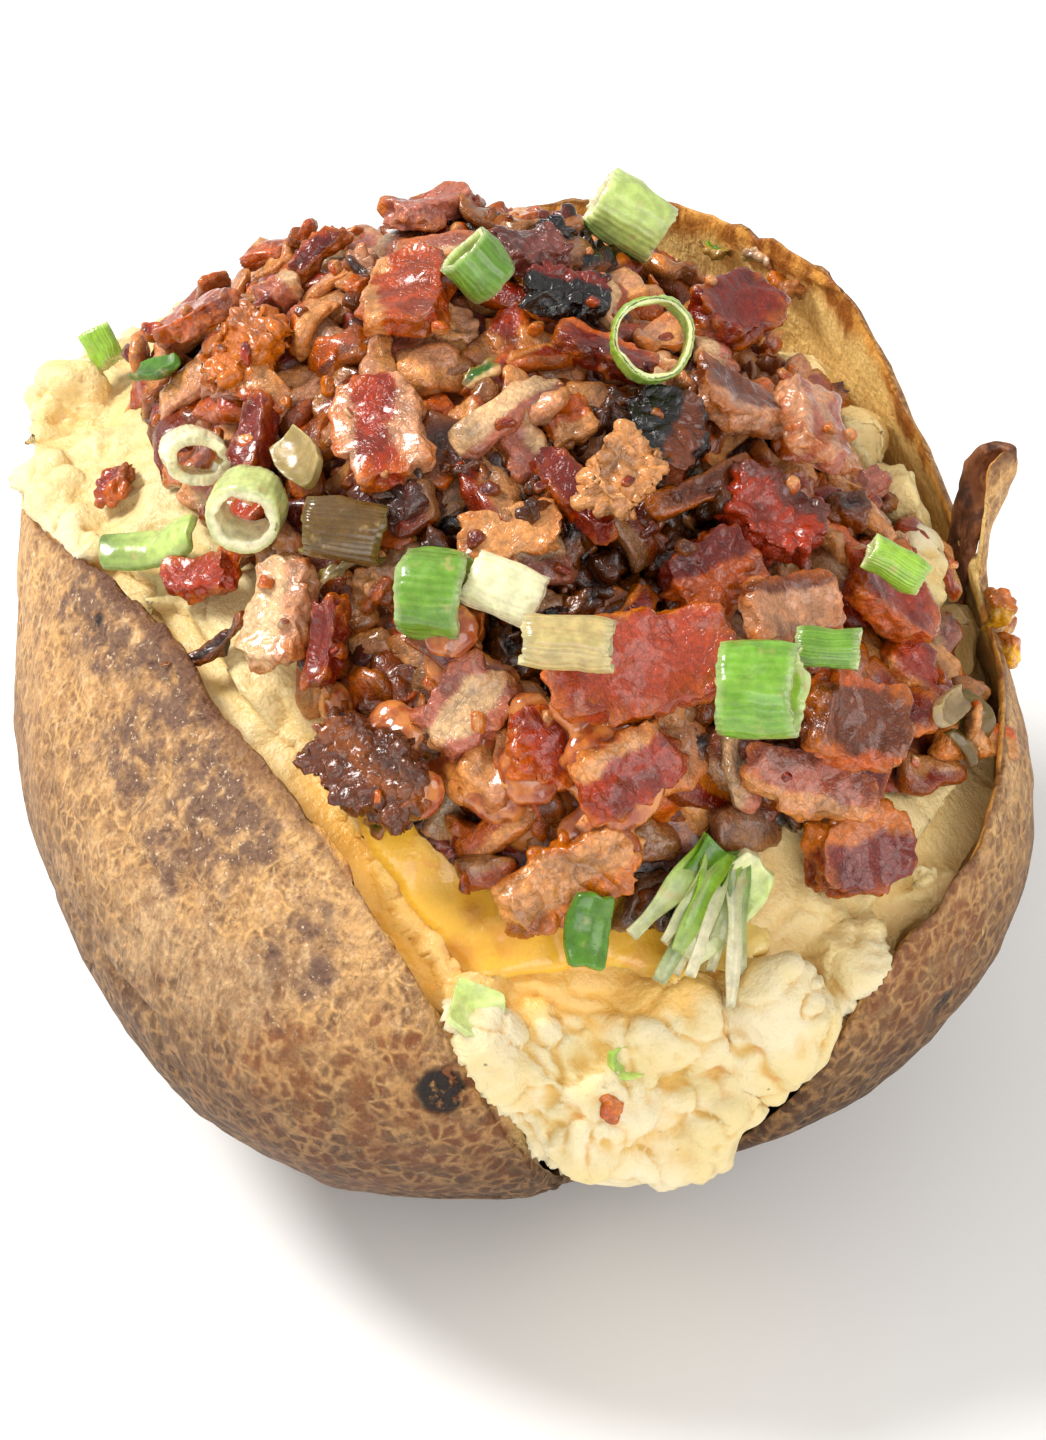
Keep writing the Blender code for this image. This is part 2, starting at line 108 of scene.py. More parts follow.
def cell_distances(points, span, seed=0):
    """The distances to the nearest and second nearest of scattered centres about this span apart."""
    p = np.asarray(points) / span + 1000.5
    cell = np.floor(p).astype(np.int64)
    nearest = np.full(len(p), 9.0)
    second = np.full(len(p), 9.0)
    for step in np.ndindex(3, 3, 3):
        near = cell + np.array(step) - 1
        centre = near + 0.5 + 0.42 * np.stack([lattice_values(near, seed + k) for k in (1, 2, 3)], -1)
        d = np.linalg.norm(centre - p, axis=1)
        second = np.minimum(second, np.maximum(nearest, d))
        nearest = np.minimum(nearest, d)
    return nearest, second


def smooth_step(low, high, value):
    t = np.clip((value - low) / (high - low), 0, 1)
    return t * t * (3 - 2 * t)


# ---------------------------------------------------------------- meshes


def rows_of_three(items, name):
    """What each item holds under this name, one row of three numbers for each."""
    values = np.empty(len(items) * 3, np.float32)
    items.foreach_get(name, values)
    return values.reshape(-1, 3).astype(float)


def corners_of(obj):
    return rows_of_three(obj.data.vertices, "co")


def normals_of(obj):
    return rows_of_three(obj.data.vertex_normals, "vector")


def set_corners(obj, points):
    obj.data.vertices.foreach_set("co", np.ascontiguousarray(points, np.float32).ravel())
    obj.data.update()


def new_object(name, data):
    obj = bpy.data.objects.new(name, data)
    bpy.context.scene.collection.objects.link(obj)
    return obj


def shape_of(name, points, faces):
    """A new object from arrays of corners and faces."""
    mesh = bpy.data.meshes.new(name)
    mesh.from_pydata(np.asarray(points).tolist(), [], faces.tolist())
    return new_object(name, mesh)


def quads(grid):
    """Faces with four corners over a grid of corner numbers."""
    return np.stack([q.ravel() for q in (grid[:-1, :-1], grid[:-1, 1:], grid[1:, 1:], grid[1:, :-1])], 1)


@contextmanager
def opened(mesh):
    """The mesh as a bmesh to change, which is written back at the end."""
    bm = bmesh.new()
    bm.from_mesh(mesh)
    yield bm
    bm.to_mesh(mesh)
    bm.free()


def welded_copy(name, node):
    """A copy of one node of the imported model, with shared corners and no looks of its own."""
    copy = new_object(name, bpy.data.meshes.new(name))
    welded = bmesh.new()
    welded.from_mesh(NODES[node].data)
    bmesh.ops.remove_doubles(welded, verts=welded.verts, dist=WELD)
    welded.to_mesh(copy.data)
    welded.free()
    copy.data.materials.clear()
    layers = copy.data.attributes
    for layer in ("UVMap", "sharp_face", "sharp_edge"):
        if layer in layers:
            layers.remove(layers[layer])
    return copy


def modified(obj, kind, **settings):
    """Applies one modifier to an object."""
    modifier = obj.modifiers.new("step", kind)
    for key, value in settings.items():
        setattr(modifier, key, value)
    made = bpy.data.meshes.new_from_object(obj.evaluated_get(bpy.context.evaluated_depsgraph_get()))
    obj.modifiers.clear()
    old = obj.data
    obj.data = made
    made.name = obj.name
    bpy.data.meshes.remove(old)
    return obj


def remeshed(obj, voxel):
    return modified(obj, "REMESH", mode="VOXEL", voxel_size=voxel, use_smooth_shade=True)


def subdivided(obj, levels, kind="CATMULL_CLARK"):
    return modified(obj, "SUBSURF", subdivision_type=kind, levels=levels)


def softened(obj, times, factor=0.5):
    return modified(obj, "SMOOTH", iterations=times, factor=factor)


def pushed(obj, distances):
    """Moves each corner along its normal."""
    set_corners(obj, corners_of(obj) + normals_of(obj) * np.asarray(distances)[:, None])
    return obj


def set_tint(obj, colours):
    """Keeps a colour for each corner, as linear red, green and blue."""
    layer = obj.data.attributes.new("tint", "FLOAT_COLOR", "POINT")
    rgba = np.ones((len(colours), 4), np.float32)
    rgba[:, :3] = colours
    layer.data.foreach_set("color", rgba.ravel())


def set_value(obj, name, values):
    """Keeps one number for each corner."""
    layer = obj.data.attributes.new(name, "FLOAT", "POINT")
    layer.data.foreach_set("value", np.ascontiguousarray(values, np.float32))


def blend(a, b, share):
    """Part of a and part of b: only b where the share is 1."""
    return np.array(a) * (1 - share) + np.array(b) * share


def finished(obj, material, slot, *nodes):
    """Gives a piece its material, shades it smooth, puts it on the body and hides the nodes that it stands
    for; slot is not used.
    """
    obj.data.materials.clear()
    obj.data.materials.append(material)
    obj.data.shade_smooth()
    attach(obj, BODY)
    if nodes:
        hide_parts(*nodes)
    return obj


def srgb(red, green, blue):
    """A colour given as 0 to 255, as linear values."""
    values = np.array((red, green, blue)) / 255
    return tuple(np.where(values <= 0.04045, values / 12.92, ((values + 0.055) / 1.055) ** 2.4))


# ---------------------------------------------------------------- materials


class Nodes:
    """A short way to write a material's nodes. Lengths are in millimetres."""

    def __init__(self, name):
        self.material = bpy.data.materials.new(name)
        self.material.use_nodes = True
        self.tree = self.material.node_tree
        self.shader = self.tree.nodes["Principled BSDF"]
        place = self.add("ShaderNodeTexCoord").outputs["Object"]
        self.mm = self.vector("SCALE", place, scale=1000)

    def add(self, kind, **settings):
        node = self.tree.nodes.new(kind)
        for key, value in settings.items():
            setattr(node, key, value)
        return node

    def put(self, socket, value):
        """Links a socket, or sets its value."""
        if isinstance(value, bpy.types.NodeSocket):
            self.tree.links.new(value, socket)
        elif hasattr(value, "__len__") and len(value) == 3 and socket.type == "RGBA":
            socket.default_value = (*value, 1)
        else:
            socket.default_value = value

    def put_all(self, sockets, *values):
        for socket, value in zip(sockets, values):
            self.put(socket, value)

    def vector(self, operation, a, b=None, scale=None):
        node = self.add("ShaderNodeVectorMath", operation=operation)
        self.put(node.inputs[0], a)
        if b is not None:
            self.put(node.inputs[1], b)
        if scale is not None:
            self.put(node.inputs["Scale"], scale)
        return node.outputs["Value" if operation == "DISTANCE" else "Vector"]

    def distance(self, place):
        return self.vector("DISTANCE", self.mm, place)

    def height(self):
        node = self.add("ShaderNodeSeparateXYZ")
        self.put(node.inputs[0], self.mm)
        return node.outputs["Z"]

    def math(self, operation, *values):
        node = self.add("ShaderNodeMath", operation=operation)
        self.put_all(node.inputs, *values)
        return node.outputs[0]

    def times(self, a, b):
        return self.math("MULTIPLY", a, b)

    def plus(self, a, b, share=1.0):
        """a, with this share of b added."""
        return self.math("MULTIPLY_ADD", b, share, a)

    def centred(self, value, size=1.0):
        """A value from 0 to 1 moved to lie around 0, and made this wide."""
        return self.times(self.math("SUBTRACT", value, 0.5), size)

    def noise(self, span, detail=3.0, roughness=0.55, at=None):
        node = self.add("ShaderNodeTexNoise")
        for name, value in (("Scale", 1 / span), ("Detail", detail), ("Roughness", roughness)):
            node.inputs[name].default_value = value
        self.put(node.inputs["Vector"], self.mm if at is None else at)
        return node.outputs["Fac"]

    def cells(self, span, feature="F1", at=None):
        node = self.add("ShaderNodeTexVoronoi", feature=feature)
        node.inputs["Scale"].default_value = 1 / span
        self.put(node.inputs["Vector"], self.mm if at is None else at)
        return node.outputs["Distance"]

    def ramp(self, value, low, high, to_low=0.0, to_high=1.0):
        """value mapped smoothly from low..high to to_low..to_high."""
        node = self.add("ShaderNodeMapRange", interpolation_type="SMOOTHSTEP")
        self.put_all(node.inputs, value, low, high, to_low, to_high)
        return node.outputs["Result"]

    def patchy(self, span, low, high, detail=2):
        """A value that drifts between low and high."""
        return self.ramp(self.noise(span, detail), 0.35, 0.65, low, high)

    def mix(self, factor, a, b, way="MIX"):
        node = self.add("ShaderNodeMix", data_type="RGBA", blend_type=way)
        self.put(node.inputs[0], factor)
        self.put_all([s for s in node.inputs if s.type == "RGBA"], a, b)
        return next(s for s in node.outputs if s.type == "RGBA")

    def blotched(self, colour, other, span, low, high, most=1.0, detail=3, roughness=0.55):
        """The other colour laid over this one in blotches about this span across."""
        return self.mix(self.ramp(self.noise(span, detail, roughness), low, high, 0, most), colour, other)

    def dyed(self, colour, tint):
        return self.mix(1.0, colour, tint, "MULTIPLY")

    def shaded(self, colour, brightness):
        grey = self.add("ShaderNodeCombineColor")
        self.put_all(grey.inputs, *[brightness] * 3)
        return self.dyed(colour, grey.outputs[0])

    def attribute(self, name, output="Fac"):
        return self.add("ShaderNodeAttribute", attribute_name=name).outputs[output]

    def warped(self, amount, span, upright=None):
        """The place, shifted by noise, and with its height made this much smaller."""
        shift = self.add("ShaderNodeTexNoise")
        self.put(shift.inputs["Vector"], self.mm)
        shift.inputs["Scale"].default_value = 1 / span
        centred = self.vector("SUBTRACT", shift.outputs["Color"], (0.5, 0.5, 0.5))
        place = self.vector("ADD", self.mm, self.vector("SCALE", centred, scale=2 * amount))
        return place if upright is None else self.vector("MULTIPLY", place, (1, 1, upright))

    def surface(self, colour, roughness, height=None, depth=0.0, coat=None, scatter=None, specular=0.5):
        """Sets the shader. The relief is depth millimetres deep. coat is its weight and roughness;
        scatter is its weight, and how far red, green and blue light travel inside, in millimetres."""
        values = {"Base Color": colour, "Roughness": roughness, "Specular IOR Level": specular}
        if height is not None:
            bump = self.add("ShaderNodeBump")
            sockets = [bump.inputs[name] for name in ("Height", "Distance", "Strength")]
            self.put_all(sockets, height, depth * MM, 1.0)
            values["Normal"] = bump.outputs["Normal"]
        if coat:
            values["Coat Weight"], values["Coat Roughness"] = coat
        if scatter:
            values["Subsurface Weight"] = scatter[0]
            values["Subsurface Radius"] = [reach * MM for reach in scatter[1:]]
            values["Subsurface Scale"] = 1.0
        for key, value in values.items():
            self.put(self.shader.inputs[key], value)
        return self.material


# ---------------------------------------------------------------- shapes that several pieces use


def tree_of(*objects):
    """One search tree over these objects' surfaces."""
    points, faces = [], []
    for obj in objects:
        start = len(points)
        points += [v.co.copy() for v in obj.data.vertices]
        faces += [tuple(start + i for i in p.vertices) for p in obj.data.polygons]
    return BVHTree.FromPolygons(points, faces)


def radii(obj, centre, directions, reach=0.15):
    """How far the surface lies from the centre in each direction, or nan where there is none."""
    tree = tree_of(obj)
    found = np.full(len(directions), np.nan)
    for i, d in enumerate(directions):
        hit = tree.ray_cast(centre + Vector(d) * reach, -Vector(d), reach)
        if hit[0]:
            found[i] = reach - hit[3]
    return found


def own_axes(obj):
    """The middle of a piece and its axes, longest first."""
    points = corners_of(obj)
    middle = (points.max(0) + points.min(0)) / 2
    _, vectors = np.linalg.eigh(np.cov((points - points.mean(0)).T))
    axes = vectors[:, ::-1].T
    for k in range(2):
        axes[k] *= np.sign(axes[k][np.argmax(np.abs(axes[k]))])
    axes[2] = np.cross(axes[0], axes[1])
    return middle, axes


def ball(levels=3):
    """A round mesh as arrays of corners, radius 1, and triangles."""
    made = bmesh.new()
    bmesh.ops.create_icosphere(made, subdivisions=levels, radius=1)
    points = np.array([v.co for v in made.verts])
    faces = np.array([[v.index for v in f.verts] for f in made.faces])
    made.free()
    return points, faces


def turned(rng, upright=0.0):
    """A random rotation. With upright near 1 the piece stays flat, turned only about its own Z."""
    spin = Matrix.Rotation(rng.uniform(0, 2 * math.pi), 3, "Z")
    axis = Vector((rng.normal(), rng.normal(), 0.001)).normalized()
    tilt = Matrix.Rotation((1 - upright) * rng.uniform(-1, 1) * math.pi / 2, 3, axis)
    return np.array(tilt @ spin)


def facing(normal):
    """Axes as rows, whose third is this normal."""
    z = np.array(normal) / np.linalg.norm(normal)
    x = np.cross((0.3, 1, 0.1), z)
    x /= np.linalg.norm(x)
    return np.array((x, np.cross(z, x), z))


def joined(name, parts):
    """One object of many parts, each (corners, faces) or (corners, faces, colour for each corner)."""
    starts = np.cumsum([0] + [len(part[0]) for part in parts[:-1]])
    faces = np.concatenate([part[1] + start for part, start in zip(parts, starts)])
    obj = shape_of(name, np.concatenate([part[0] for part in parts]), faces)
    if len(parts[0]) == 3:
        set_tint(obj, np.concatenate([part[2] for part in parts]))
    return obj


def outward(degrees):
    """The level direction at this bearing."""
    return Vector((math.cos(math.radians(degrees)), math.sin(math.radians(degrees)), 0))


# ---------------------------------------------------------------- jacket

SKIN_LIGHT = srgb(222, 186, 142)
SKIN_TAN = srgb(202, 156, 106)
SKIN_BROWN = srgb(118, 78, 48)
SKIN_NET = srgb(216, 168, 108)
SKIN_RED = srgb(130, 70, 30)
SKIN_DARK = srgb(92, 64, 58)
SKIN_CHAR = srgb(38, 26, 22)
SKIN_INSIDE = srgb(96, 52, 22)
SKIN_MOTTLE = srgb(112, 74, 48)
# The dark and the pale of the jacket's low part, which is painted shade
SKIN_LOW_PAINTED_SHADE = (srgb(88, 50, 24), srgb(186, 138, 88))
SKIN_WET = (srgb(150, 88, 36), srgb(222, 160, 78))
SMEARED_FLESH = srgb(238, 204, 134)
FLAKE = srgb(226, 200, 170)
SKIN_WARMTH = (1.03, 1.02, 0.95)

# Patches of the jacket: the middle and the radius in millimetres
DARK_PATCHES = (((8, -33, 57), 13), ((-8, -37, 56), 8), ((22, -36, 50), 8), ((34, -34, 44), 6))
RED_PATCHES = (((44, -36, 30), 14), ((52, -24, 32), 10), ((53, 22, 36), 10), ((30, 46, 40), 9))
CHAR_SPOTS = (((49, -28, 38), 2.2), ((52, -24, 36), 1.3), ((46, -31, 34), 1.5), ((52, 24, 30), 2.0))


def patches_of(n, table, uneven, rough):
    """Where these patches are, with ragged edges."""
    total = 0.0
    for place, radius in table:
        apart = n.plus(n.distance(place), uneven, rough * radius)
        total = n.math("MAXIMUM", n.ramp(apart, radius * 0.65, radius * 1.15, 1, 0), total)
    return total


def skin_base(n, net, uneven, middling, fibre, below):
    """The brown of the jacket, with its fine net, its dashes, and its low part darkened with painted shade.
    """
    base = n.blotched(SKIN_TAN, SKIN_LIGHT, 20, 0.35, 0.65)
    base = n.mix(n.ramp(middling, 0.42, 0.68), base, SKIN_BROWN)
    base = n.mix(n.ramp(fibre, 0.38, 0.62, 0.5, 0), base, SKIN_BROWN)
    fine_net = n.ramp(n.cells(1.0, "DISTANCE_TO_EDGE", at=n.warped(0.7, 4)), 0.02, 0.18, 1, 0)
    netted = n.mix(net, n.blotched(SKIN_BROWN, SKIN_TAN, 3, 0.4, 0.65), SKIN_NET)
    netted = n.mix(n.times(fine_net, 0.35), netted, SKIN_NET)
    zone = n.ramp(n.plus(n.noise(13, 2), n.ramp(below, 4, 20, 1, 0), 0.3), 0.49, 0.64)
    colour = n.mix(n.times(zone, 0.75), base, netted)
    dashes = n.noise(0.9, 3, 0.6, at=n.warped(0.4, 2, 0.4))
    colour = n.mix(n.ramp(dashes, 0.54, 0.66, 0, 0.5), colour, SKIN_LIGHT)
    colour = n.blotched(colour, SKIN_MOTTLE, 1.5, 0.56, 0.70, 0.7, 4, 0.65)
    # Painted shade: the colour darkens by height towards the jacket's base.
    low = n.ramp(n.plus(n.height(), uneven, 14.0), 22, 54, 0.9, 0)
    return n.mix(low, colour, n.mix(net, *SKIN_LOW_PAINTED_SHADE)), zone


def inner_face(n, below):
    """The wet inner face of the jacket, with flesh smeared along it."""
    streaked = n.noise(3.0, 4, 0.6, at=n.warped(0.8, 4, 0.35))
    wet = n.mix(n.ramp(streaked, 0.36, 0.6), *SKIN_WET)
    return n.mix(n.ramp(n.plus(below, n.centred(streaked, 9.0)), 1.5, 5), wet, SMEARED_FLESH)


def skin_material():
    n = Nodes("russet_skin")
    edge = n.cells(1.65, "DISTANCE_TO_EDGE", at=n.warped(1.0, 2.5))
    net = n.times(n.ramp(edge, 0.02, 0.26, 1, 0), n.ramp(n.noise(2.2, 4), 0.34, 0.60, 0.1, 1))
    middling = n.noise(5, 4)
    uneven = n.centred(middling)
    fibre = n.noise(0.75, 4, 0.6, at=n.warped(0.6, 3, 0.28))
    below, rim, inside = (n.attribute(name) for name in ("below", "rim", "inside"))
    colour, net_zone = skin_base(n, net, uneven, middling, fibre, below)

    red = n.times(patches_of(n, RED_PATCHES, uneven, 3.0), n.ramp(n.noise(3.4, 3), 0.34, 0.58))
    colour = n.mix(n.times(red, 0.75), colour, n.mix(n.times(net, 0.55), SKIN_RED, SKIN_NET))
    dark = patches_of(n, DARK_PATCHES, uneven, 2.5)
    scaly = n.times(dark, n.ramp(n.noise(2.2, 3), 0.33, 0.55))
    colour = n.mix(n.times(scaly, 0.85), colour, SKIN_DARK)
    flakes = n.ramp(n.noise(0.6, 3, 0.7), 0.60, 0.68)
    colour = n.mix(n.times(flakes, n.ramp(dark, 0, 1, 0.25, 0.75)), colour, FLAKE)
    pits = n.times(n.ramp(n.cells(6.5), 0.05, 0.14, 1, 0), n.ramp(n.noise(9), 0.48, 0.56))
    char = n.times(patches_of(n, CHAR_SPOTS, uneven, 1.6), n.ramp(n.noise(1.1, 3), 0.36, 0.5))
    pits = n.math("MAXIMUM", pits, char)
    colour = n.mix(pits, colour, SKIN_CHAR)
    colour = n.mix(n.times(rim, 0.75), colour, SKIN_INSIDE)
    colour = n.mix(inside, colour, inner_face(n, below))
    grain = n.ramp(n.noise(0.45, 2), 0.3, 0.7, 0.84, 1.12)
    # The height ramp is painted shade low on the jacket and a little painted light at the top; grain is the
    # skin's own uneven tone.
    colour = n.shaded(colour, n.times(grain, n.ramp(n.height(), 18, 50, 0.42, 1.08)))

    outer_net = n.times(n.times(net, n.ramp(net_zone, 0, 1, 0.2, 0.8)), n.ramp(inside, 0, 1, 1, 0))
    relief = n.plus(n.plus(fibre, outer_net, 0.5), pits, -1.2)
    relief = n.plus(relief, n.noise(1.6, 4, 0.65), 0.8)
    roughness = n.ramp(n.plus(inside, rim, 0.5), 0, 1, 0.62, 0.28)
    return n.surface(n.dyed(colour, SKIN_WARMTH), roughness, relief, 0.46, specular=0.35,
                     scatter=(0.04, 2.0, 1.0, 0.5))


def bearing(points):
    return np.degrees(np.arctan2(points[:, 1], points[:, 0])) % 360


def rim_heights(points, wall, bins=90):
    """The height of the wall's upper edge at each point's bearing."""
    which = (bearing(wall) / 360 * bins).astype(int) % bins
    tops = np.array([wall[which == k, 2].max() if (which == k).any() else np.nan for k in range(bins)])
    tops = np.where(np.isnan(tops), np.nanmean(tops), tops)
    middles = (np.arange(-1, bins + 1) + 0.5) * 360 / bins
    return np.interp(bearing(points), middles, np.concatenate([tops[-1:], tops, tops[:1]]))


def make_skin():
    """The jacket: dented, creased, with a ragged edge and a wet inner face."""
    skin = welded_copy("potato_skin", "skin")
    with opened(skin.data) as bm:
        bmesh.ops.join_triangles(bm, faces=bm.faces, angle_face_threshold=1.0, angle_shape_threshold=2.0)
    subdivided(skin, 3)
    points, normals = corners_of(skin), normals_of(skin)
    away = points * (1, 1, 0)
    away /= np.linalg.norm(away, axis=1)[:, None] + TINY
    below_rim = rim_heights(points, points) - points[:, 2]
    inner = smooth_step(0.15, -0.35, (normals * away).sum(1))
    inner *= smooth_step(12 * MM, 20 * MM, points[:, 2])
    creases = 1 - np.abs(noise(points * (1, 1, 2.3), 13 * MM, 5))
    creases = smooth_step(0.9, 1.0, creases) * smooth_step(-0.1, 0.4, noise(points, 24 * MM, 8))
    push = 0.55 * noise(points, 15 * MM, 1) + 0.28 * layered(points, 5 * MM, 3, 2) - 0.6 * creases
    push *= (1 - 2 * inner) * smooth_step(0.5 * MM, 6 * MM, points[:, 2])
    points = points + normals * (push * MM)[:, None]
    ragged = layered(points * (1, 1, 0.2), 3.4 * MM, 3, 9)
    points[:, 2] += smooth_step(1.6 * MM, 0.2 * MM, below_rim) * ragged * 0.9 * MM
    set_corners(skin, points)
    set_value(skin, "inside", inner)
    set_value(skin, "below", below_rim / MM)
    set_value(skin, "rim", smooth_step(1.4 * MM, 0.1 * MM, below_rim))
    return finished(skin, skin_material(), "skin", "skin")


# The torn strip: heights, and how far out it leans from the wall, in millimetres
STRIP_BEARING = 71  # degrees
STRIP_TWIST = math.radians(75)
STRIP_HEIGHTS = (43, 47, 51, 55, 59, 62.5, 65)
STRIP_LEANS = (-0.8, -0.7, -0.4, 0.0, 0.8, 1.6, 2.2)
STRIP_HALVES = (2.6, 2.3, 1.9, 1.7, 1.8, 2.0, 1.2)


def make_torn_strip():
    """A strip of burnt skin that stands up from the jacket's right edge, twisted and ragged."""
    away = outward(STRIP_BEARING)
    side = Vector((-away.y, away.x, 0))
    hit = tree_of(NODES["skin"]).ray_cast(away * 90 * MM + Vector((0, 0, 44 * MM)), -away, 90 * MM)
    reach = Vector((hit[0].x, hit[0].y, 0)).length - 2.6 * MM
    rows, columns = 60, 22
    share = np.linspace(0, 1, rows)
    knots = np.linspace(0, 1, len(STRIP_HEIGHTS))
    tables = (STRIP_HEIGHTS, STRIP_LEANS, STRIP_HALVES)
    heights, leans, widths = (np.interp(share, knots, table) * MM for table in tables)
    points = []
    for k in range(rows):
        turn = Matrix.Rotation(STRIP_TWIST * share[k] ** 1.3, 3, "Z")
        place = away * (reach + leans[k]) + Vector((0, 0, heights[k]))
        for c in np.linspace(-1, 1, columns):
            curl = 0.9 * c * c - 0.3
            points.append(place + turn @ side * c * widths[k] - turn @ away * curl * MM)
    points = np.array(points)
    points += 0.45 * MM * np.stack([layered(points, 3 * MM, 3, 90 + k) for k in range(3)], 1)
    strip = shape_of("torn_strip", points, quads(np.arange(rows * columns).reshape(rows, columns)))
    modified(strip, "SOLIDIFY", thickness=1.1 * MM, offset=0)
    softened(strip, 2)
    return finished(strip, strip_material(), "skin")


def strip_material():
    n = Nodes("burnt_skin")
    streaks = n.noise(1.6, 4, 0.6, at=n.warped(0.5, 3, 0.4))
    colour = n.mix(n.ramp(streaks, 0.4, 0.6), srgb(74, 40, 24), srgb(136, 86, 56))
    colour = n.blotched(colour, srgb(40, 24, 16), 3, 0.55, 0.7, 0.8)
    return n.surface(colour, 0.5, streaks, 0.3, specular=0.4)


# ---------------------------------------------------------------- flesh

FLESH_PALE = srgb(232, 217, 180)
FLESH_CREAM = srgb(226, 206, 150)
FLESH_CREVICE_SHADE_GOLD = srgb(218, 174, 84)
FLESH_RECESS_SHADE_BROWN = srgb(206, 128, 52)

FLESH_VOXEL = 0.55 * MM
CHEESE_MIDDLE = (39, -16, 50)  # where the cheese is thickest and most orange, in millimetres

# Large lumps of flesh that spill out: where, and half their size along, across and up, in millimetres
BIG_LUMPS = (
    ((52, 4, 36), (5.0, 6.0, 7.0)),
    ((52, -14, 33), (4.5, 6.5, 5.0)),
    ((53, -5, 27), (4.5, 6.0, 4.0)),
    ((50, 14, 38), (4.0, 5.5, 4.0)),
    ((48, -23, 40), (4.0, 4.0, 4.0)),
    ((50, -6, 39), (4.5, 6.0, 4.0)),
    ((46, 24, 38), (3.5, 5.0, 4.5)),
    ((27, 31, 53), (4.0, 3.5, 3.8)),
    ((19, 36.5, 55), (4.5, 3.5, 4.0)),
    ((10, 40, 56), (4.8, 3.2, 4.0)),
    ((0, 41.5, 57.5), (4.8, 3.2, 4.0)),
    ((-10, 40.5, 58), (5.0, 3.2, 4.0)),
)


def flesh_material():
    n = Nodes("fluffed_potato")
    depth, cheesy = n.attribute("depth"), n.attribute("cheesy")
    broad = n.noise(9, 3)
    fine = n.noise(1.4, 4, 0.6)
    colour = n.mix(n.ramp(broad, 0.38, 0.62), FLESH_PALE, FLESH_CREAM)
    # Painted shade: the flesh turns gold where it sinks below its smoothed surface, in the crevices.
    colour = n.mix(n.ramp(n.plus(depth, fine, 0.5), 0.5, -0.4, 0, 0.9), colour, FLESH_CREVICE_SHADE_GOLD)
    # Painted shade: brown patches in the deeper recesses of the flesh.
    recess_painted_shade = n.times(n.ramp(n.noise(5, 3), 0.55, 0.68), n.ramp(depth, 0.2, -0.5))
    colour = n.mix(n.times(recess_painted_shade, 0.5), colour, FLESH_RECESS_SHADE_BROWN)
    melted = n.ramp(n.plus(cheesy, n.centred(broad), 1.4), 0.3, 0.8)
    tint = n.mix(n.ramp(n.distance(CHEESE_MIDDLE), 16, 30), srgb(250, 190, 80), srgb(242, 214, 148))
    colour = n.mix(n.times(melted, 0.7), colour, tint)
    specks = n.times(n.ramp(n.cells(4.5), 0.035, 0.06, 1, 0), n.ramp(n.noise(7), 0.5, 0.55))
    colour = n.mix(specks, colour, srgb(60, 40, 26))
    relief = n.plus(fine, n.noise(0.5, 3), 0.35)
    return n.surface(colour, n.ramp(melted, 0, 1, 0.52, 0.3), relief, 0.42, specular=0.4,
                     scatter=(0.22, 2.8, 1.8, 0.9))


def near_wall(points):
    """Whether the jacket lies just outside each point."""
    wall = tree_of(NODES["skin"])
    found = np.zeros(len(points), bool)
    for k, p in enumerate(points):
        away = Vector((p[0], p[1], 0.35 * (p[2] - 0.034))).normalized()
        found[k] = wall.ray_cast(Vector(p) - away * 1.5 * MM, away, 6.5 * MM)[0] is not None
    return found


def lump_parts(rng, places, normals, sizes):
    """Rounded lumps, as (corners, faces) to be melted into one body."""
    points, faces = ball(3)
    parts = []
    for place, normal, size in zip(places, normals, sizes):
        offset = rng.uniform(0, 99, 3)
        bumpy = points * (1 + 0.28 * layered(points + offset, 0.9, 2, 3))[:, None]
        squash = np.array((rng.uniform(0.75, 1.35), rng.uniform(0.75, 1.2), rng.uniform(0.5, 0.85)))
        shape = (bumpy * squash * size) @ turned(rng, 0.6).T @ facing(normal)
        parts.append((shape + place, faces))
    return parts


def surface_samples(obj, count, rng, keep):
    """Random places on a surface, with their normals, in the faces that keep chooses."""
    obj.data.calc_loop_triangles()
    faces = np.array([t.vertices for t in obj.data.loop_triangles])
    corners = corners_of(obj)[faces]
    across = np.cross(corners[:, 1] - corners[:, 0], corners[:, 2] - corners[:, 0])
    area = np.linalg.norm(across, axis=1)
    unit = across / (area[:, None] + 1e-15)
    area = area * keep(corners.mean(1), unit)
    chosen = rng.choice(len(faces), count, p=area / area.sum())
    u, v = rng.random((2, count))
    over = u + v > 1
    u[over], v[over] = 1 - u[over], 1 - v[over]
    c = corners[chosen]
    places = c[:, 0] + u[:, None] * (c[:, 1] - c[:, 0]) + v[:, None] * (c[:, 2] - c[:, 0])
    return places, unit[chosen]


def spilt_lumps(rng, flesh, skin_points, cover):
    """Small lumps where the flesh shows: above the jacket's edge and outside the cheese."""

    def open_flesh(middles, unit):
        edge = rim_heights(middles, skin_points)
        bare = np.array([cover.find_nearest(Vector(m))[3] > 2.2 * MM for m in middles])
        return ((middles[:, 2] > edge + 1.0 * MM) & bare & (unit[:, 2] > -0.4)).astype(float)

    places, normals = surface_samples(flesh, 120, rng, open_flesh)
    sizes = rng.uniform(1.6, 4.4, len(places)) * MM
    sink = rng.uniform(-0.55, 0.05, len(places))
    return lump_parts(rng, places + normals * (sizes * sink)[:, None], normals, sizes)


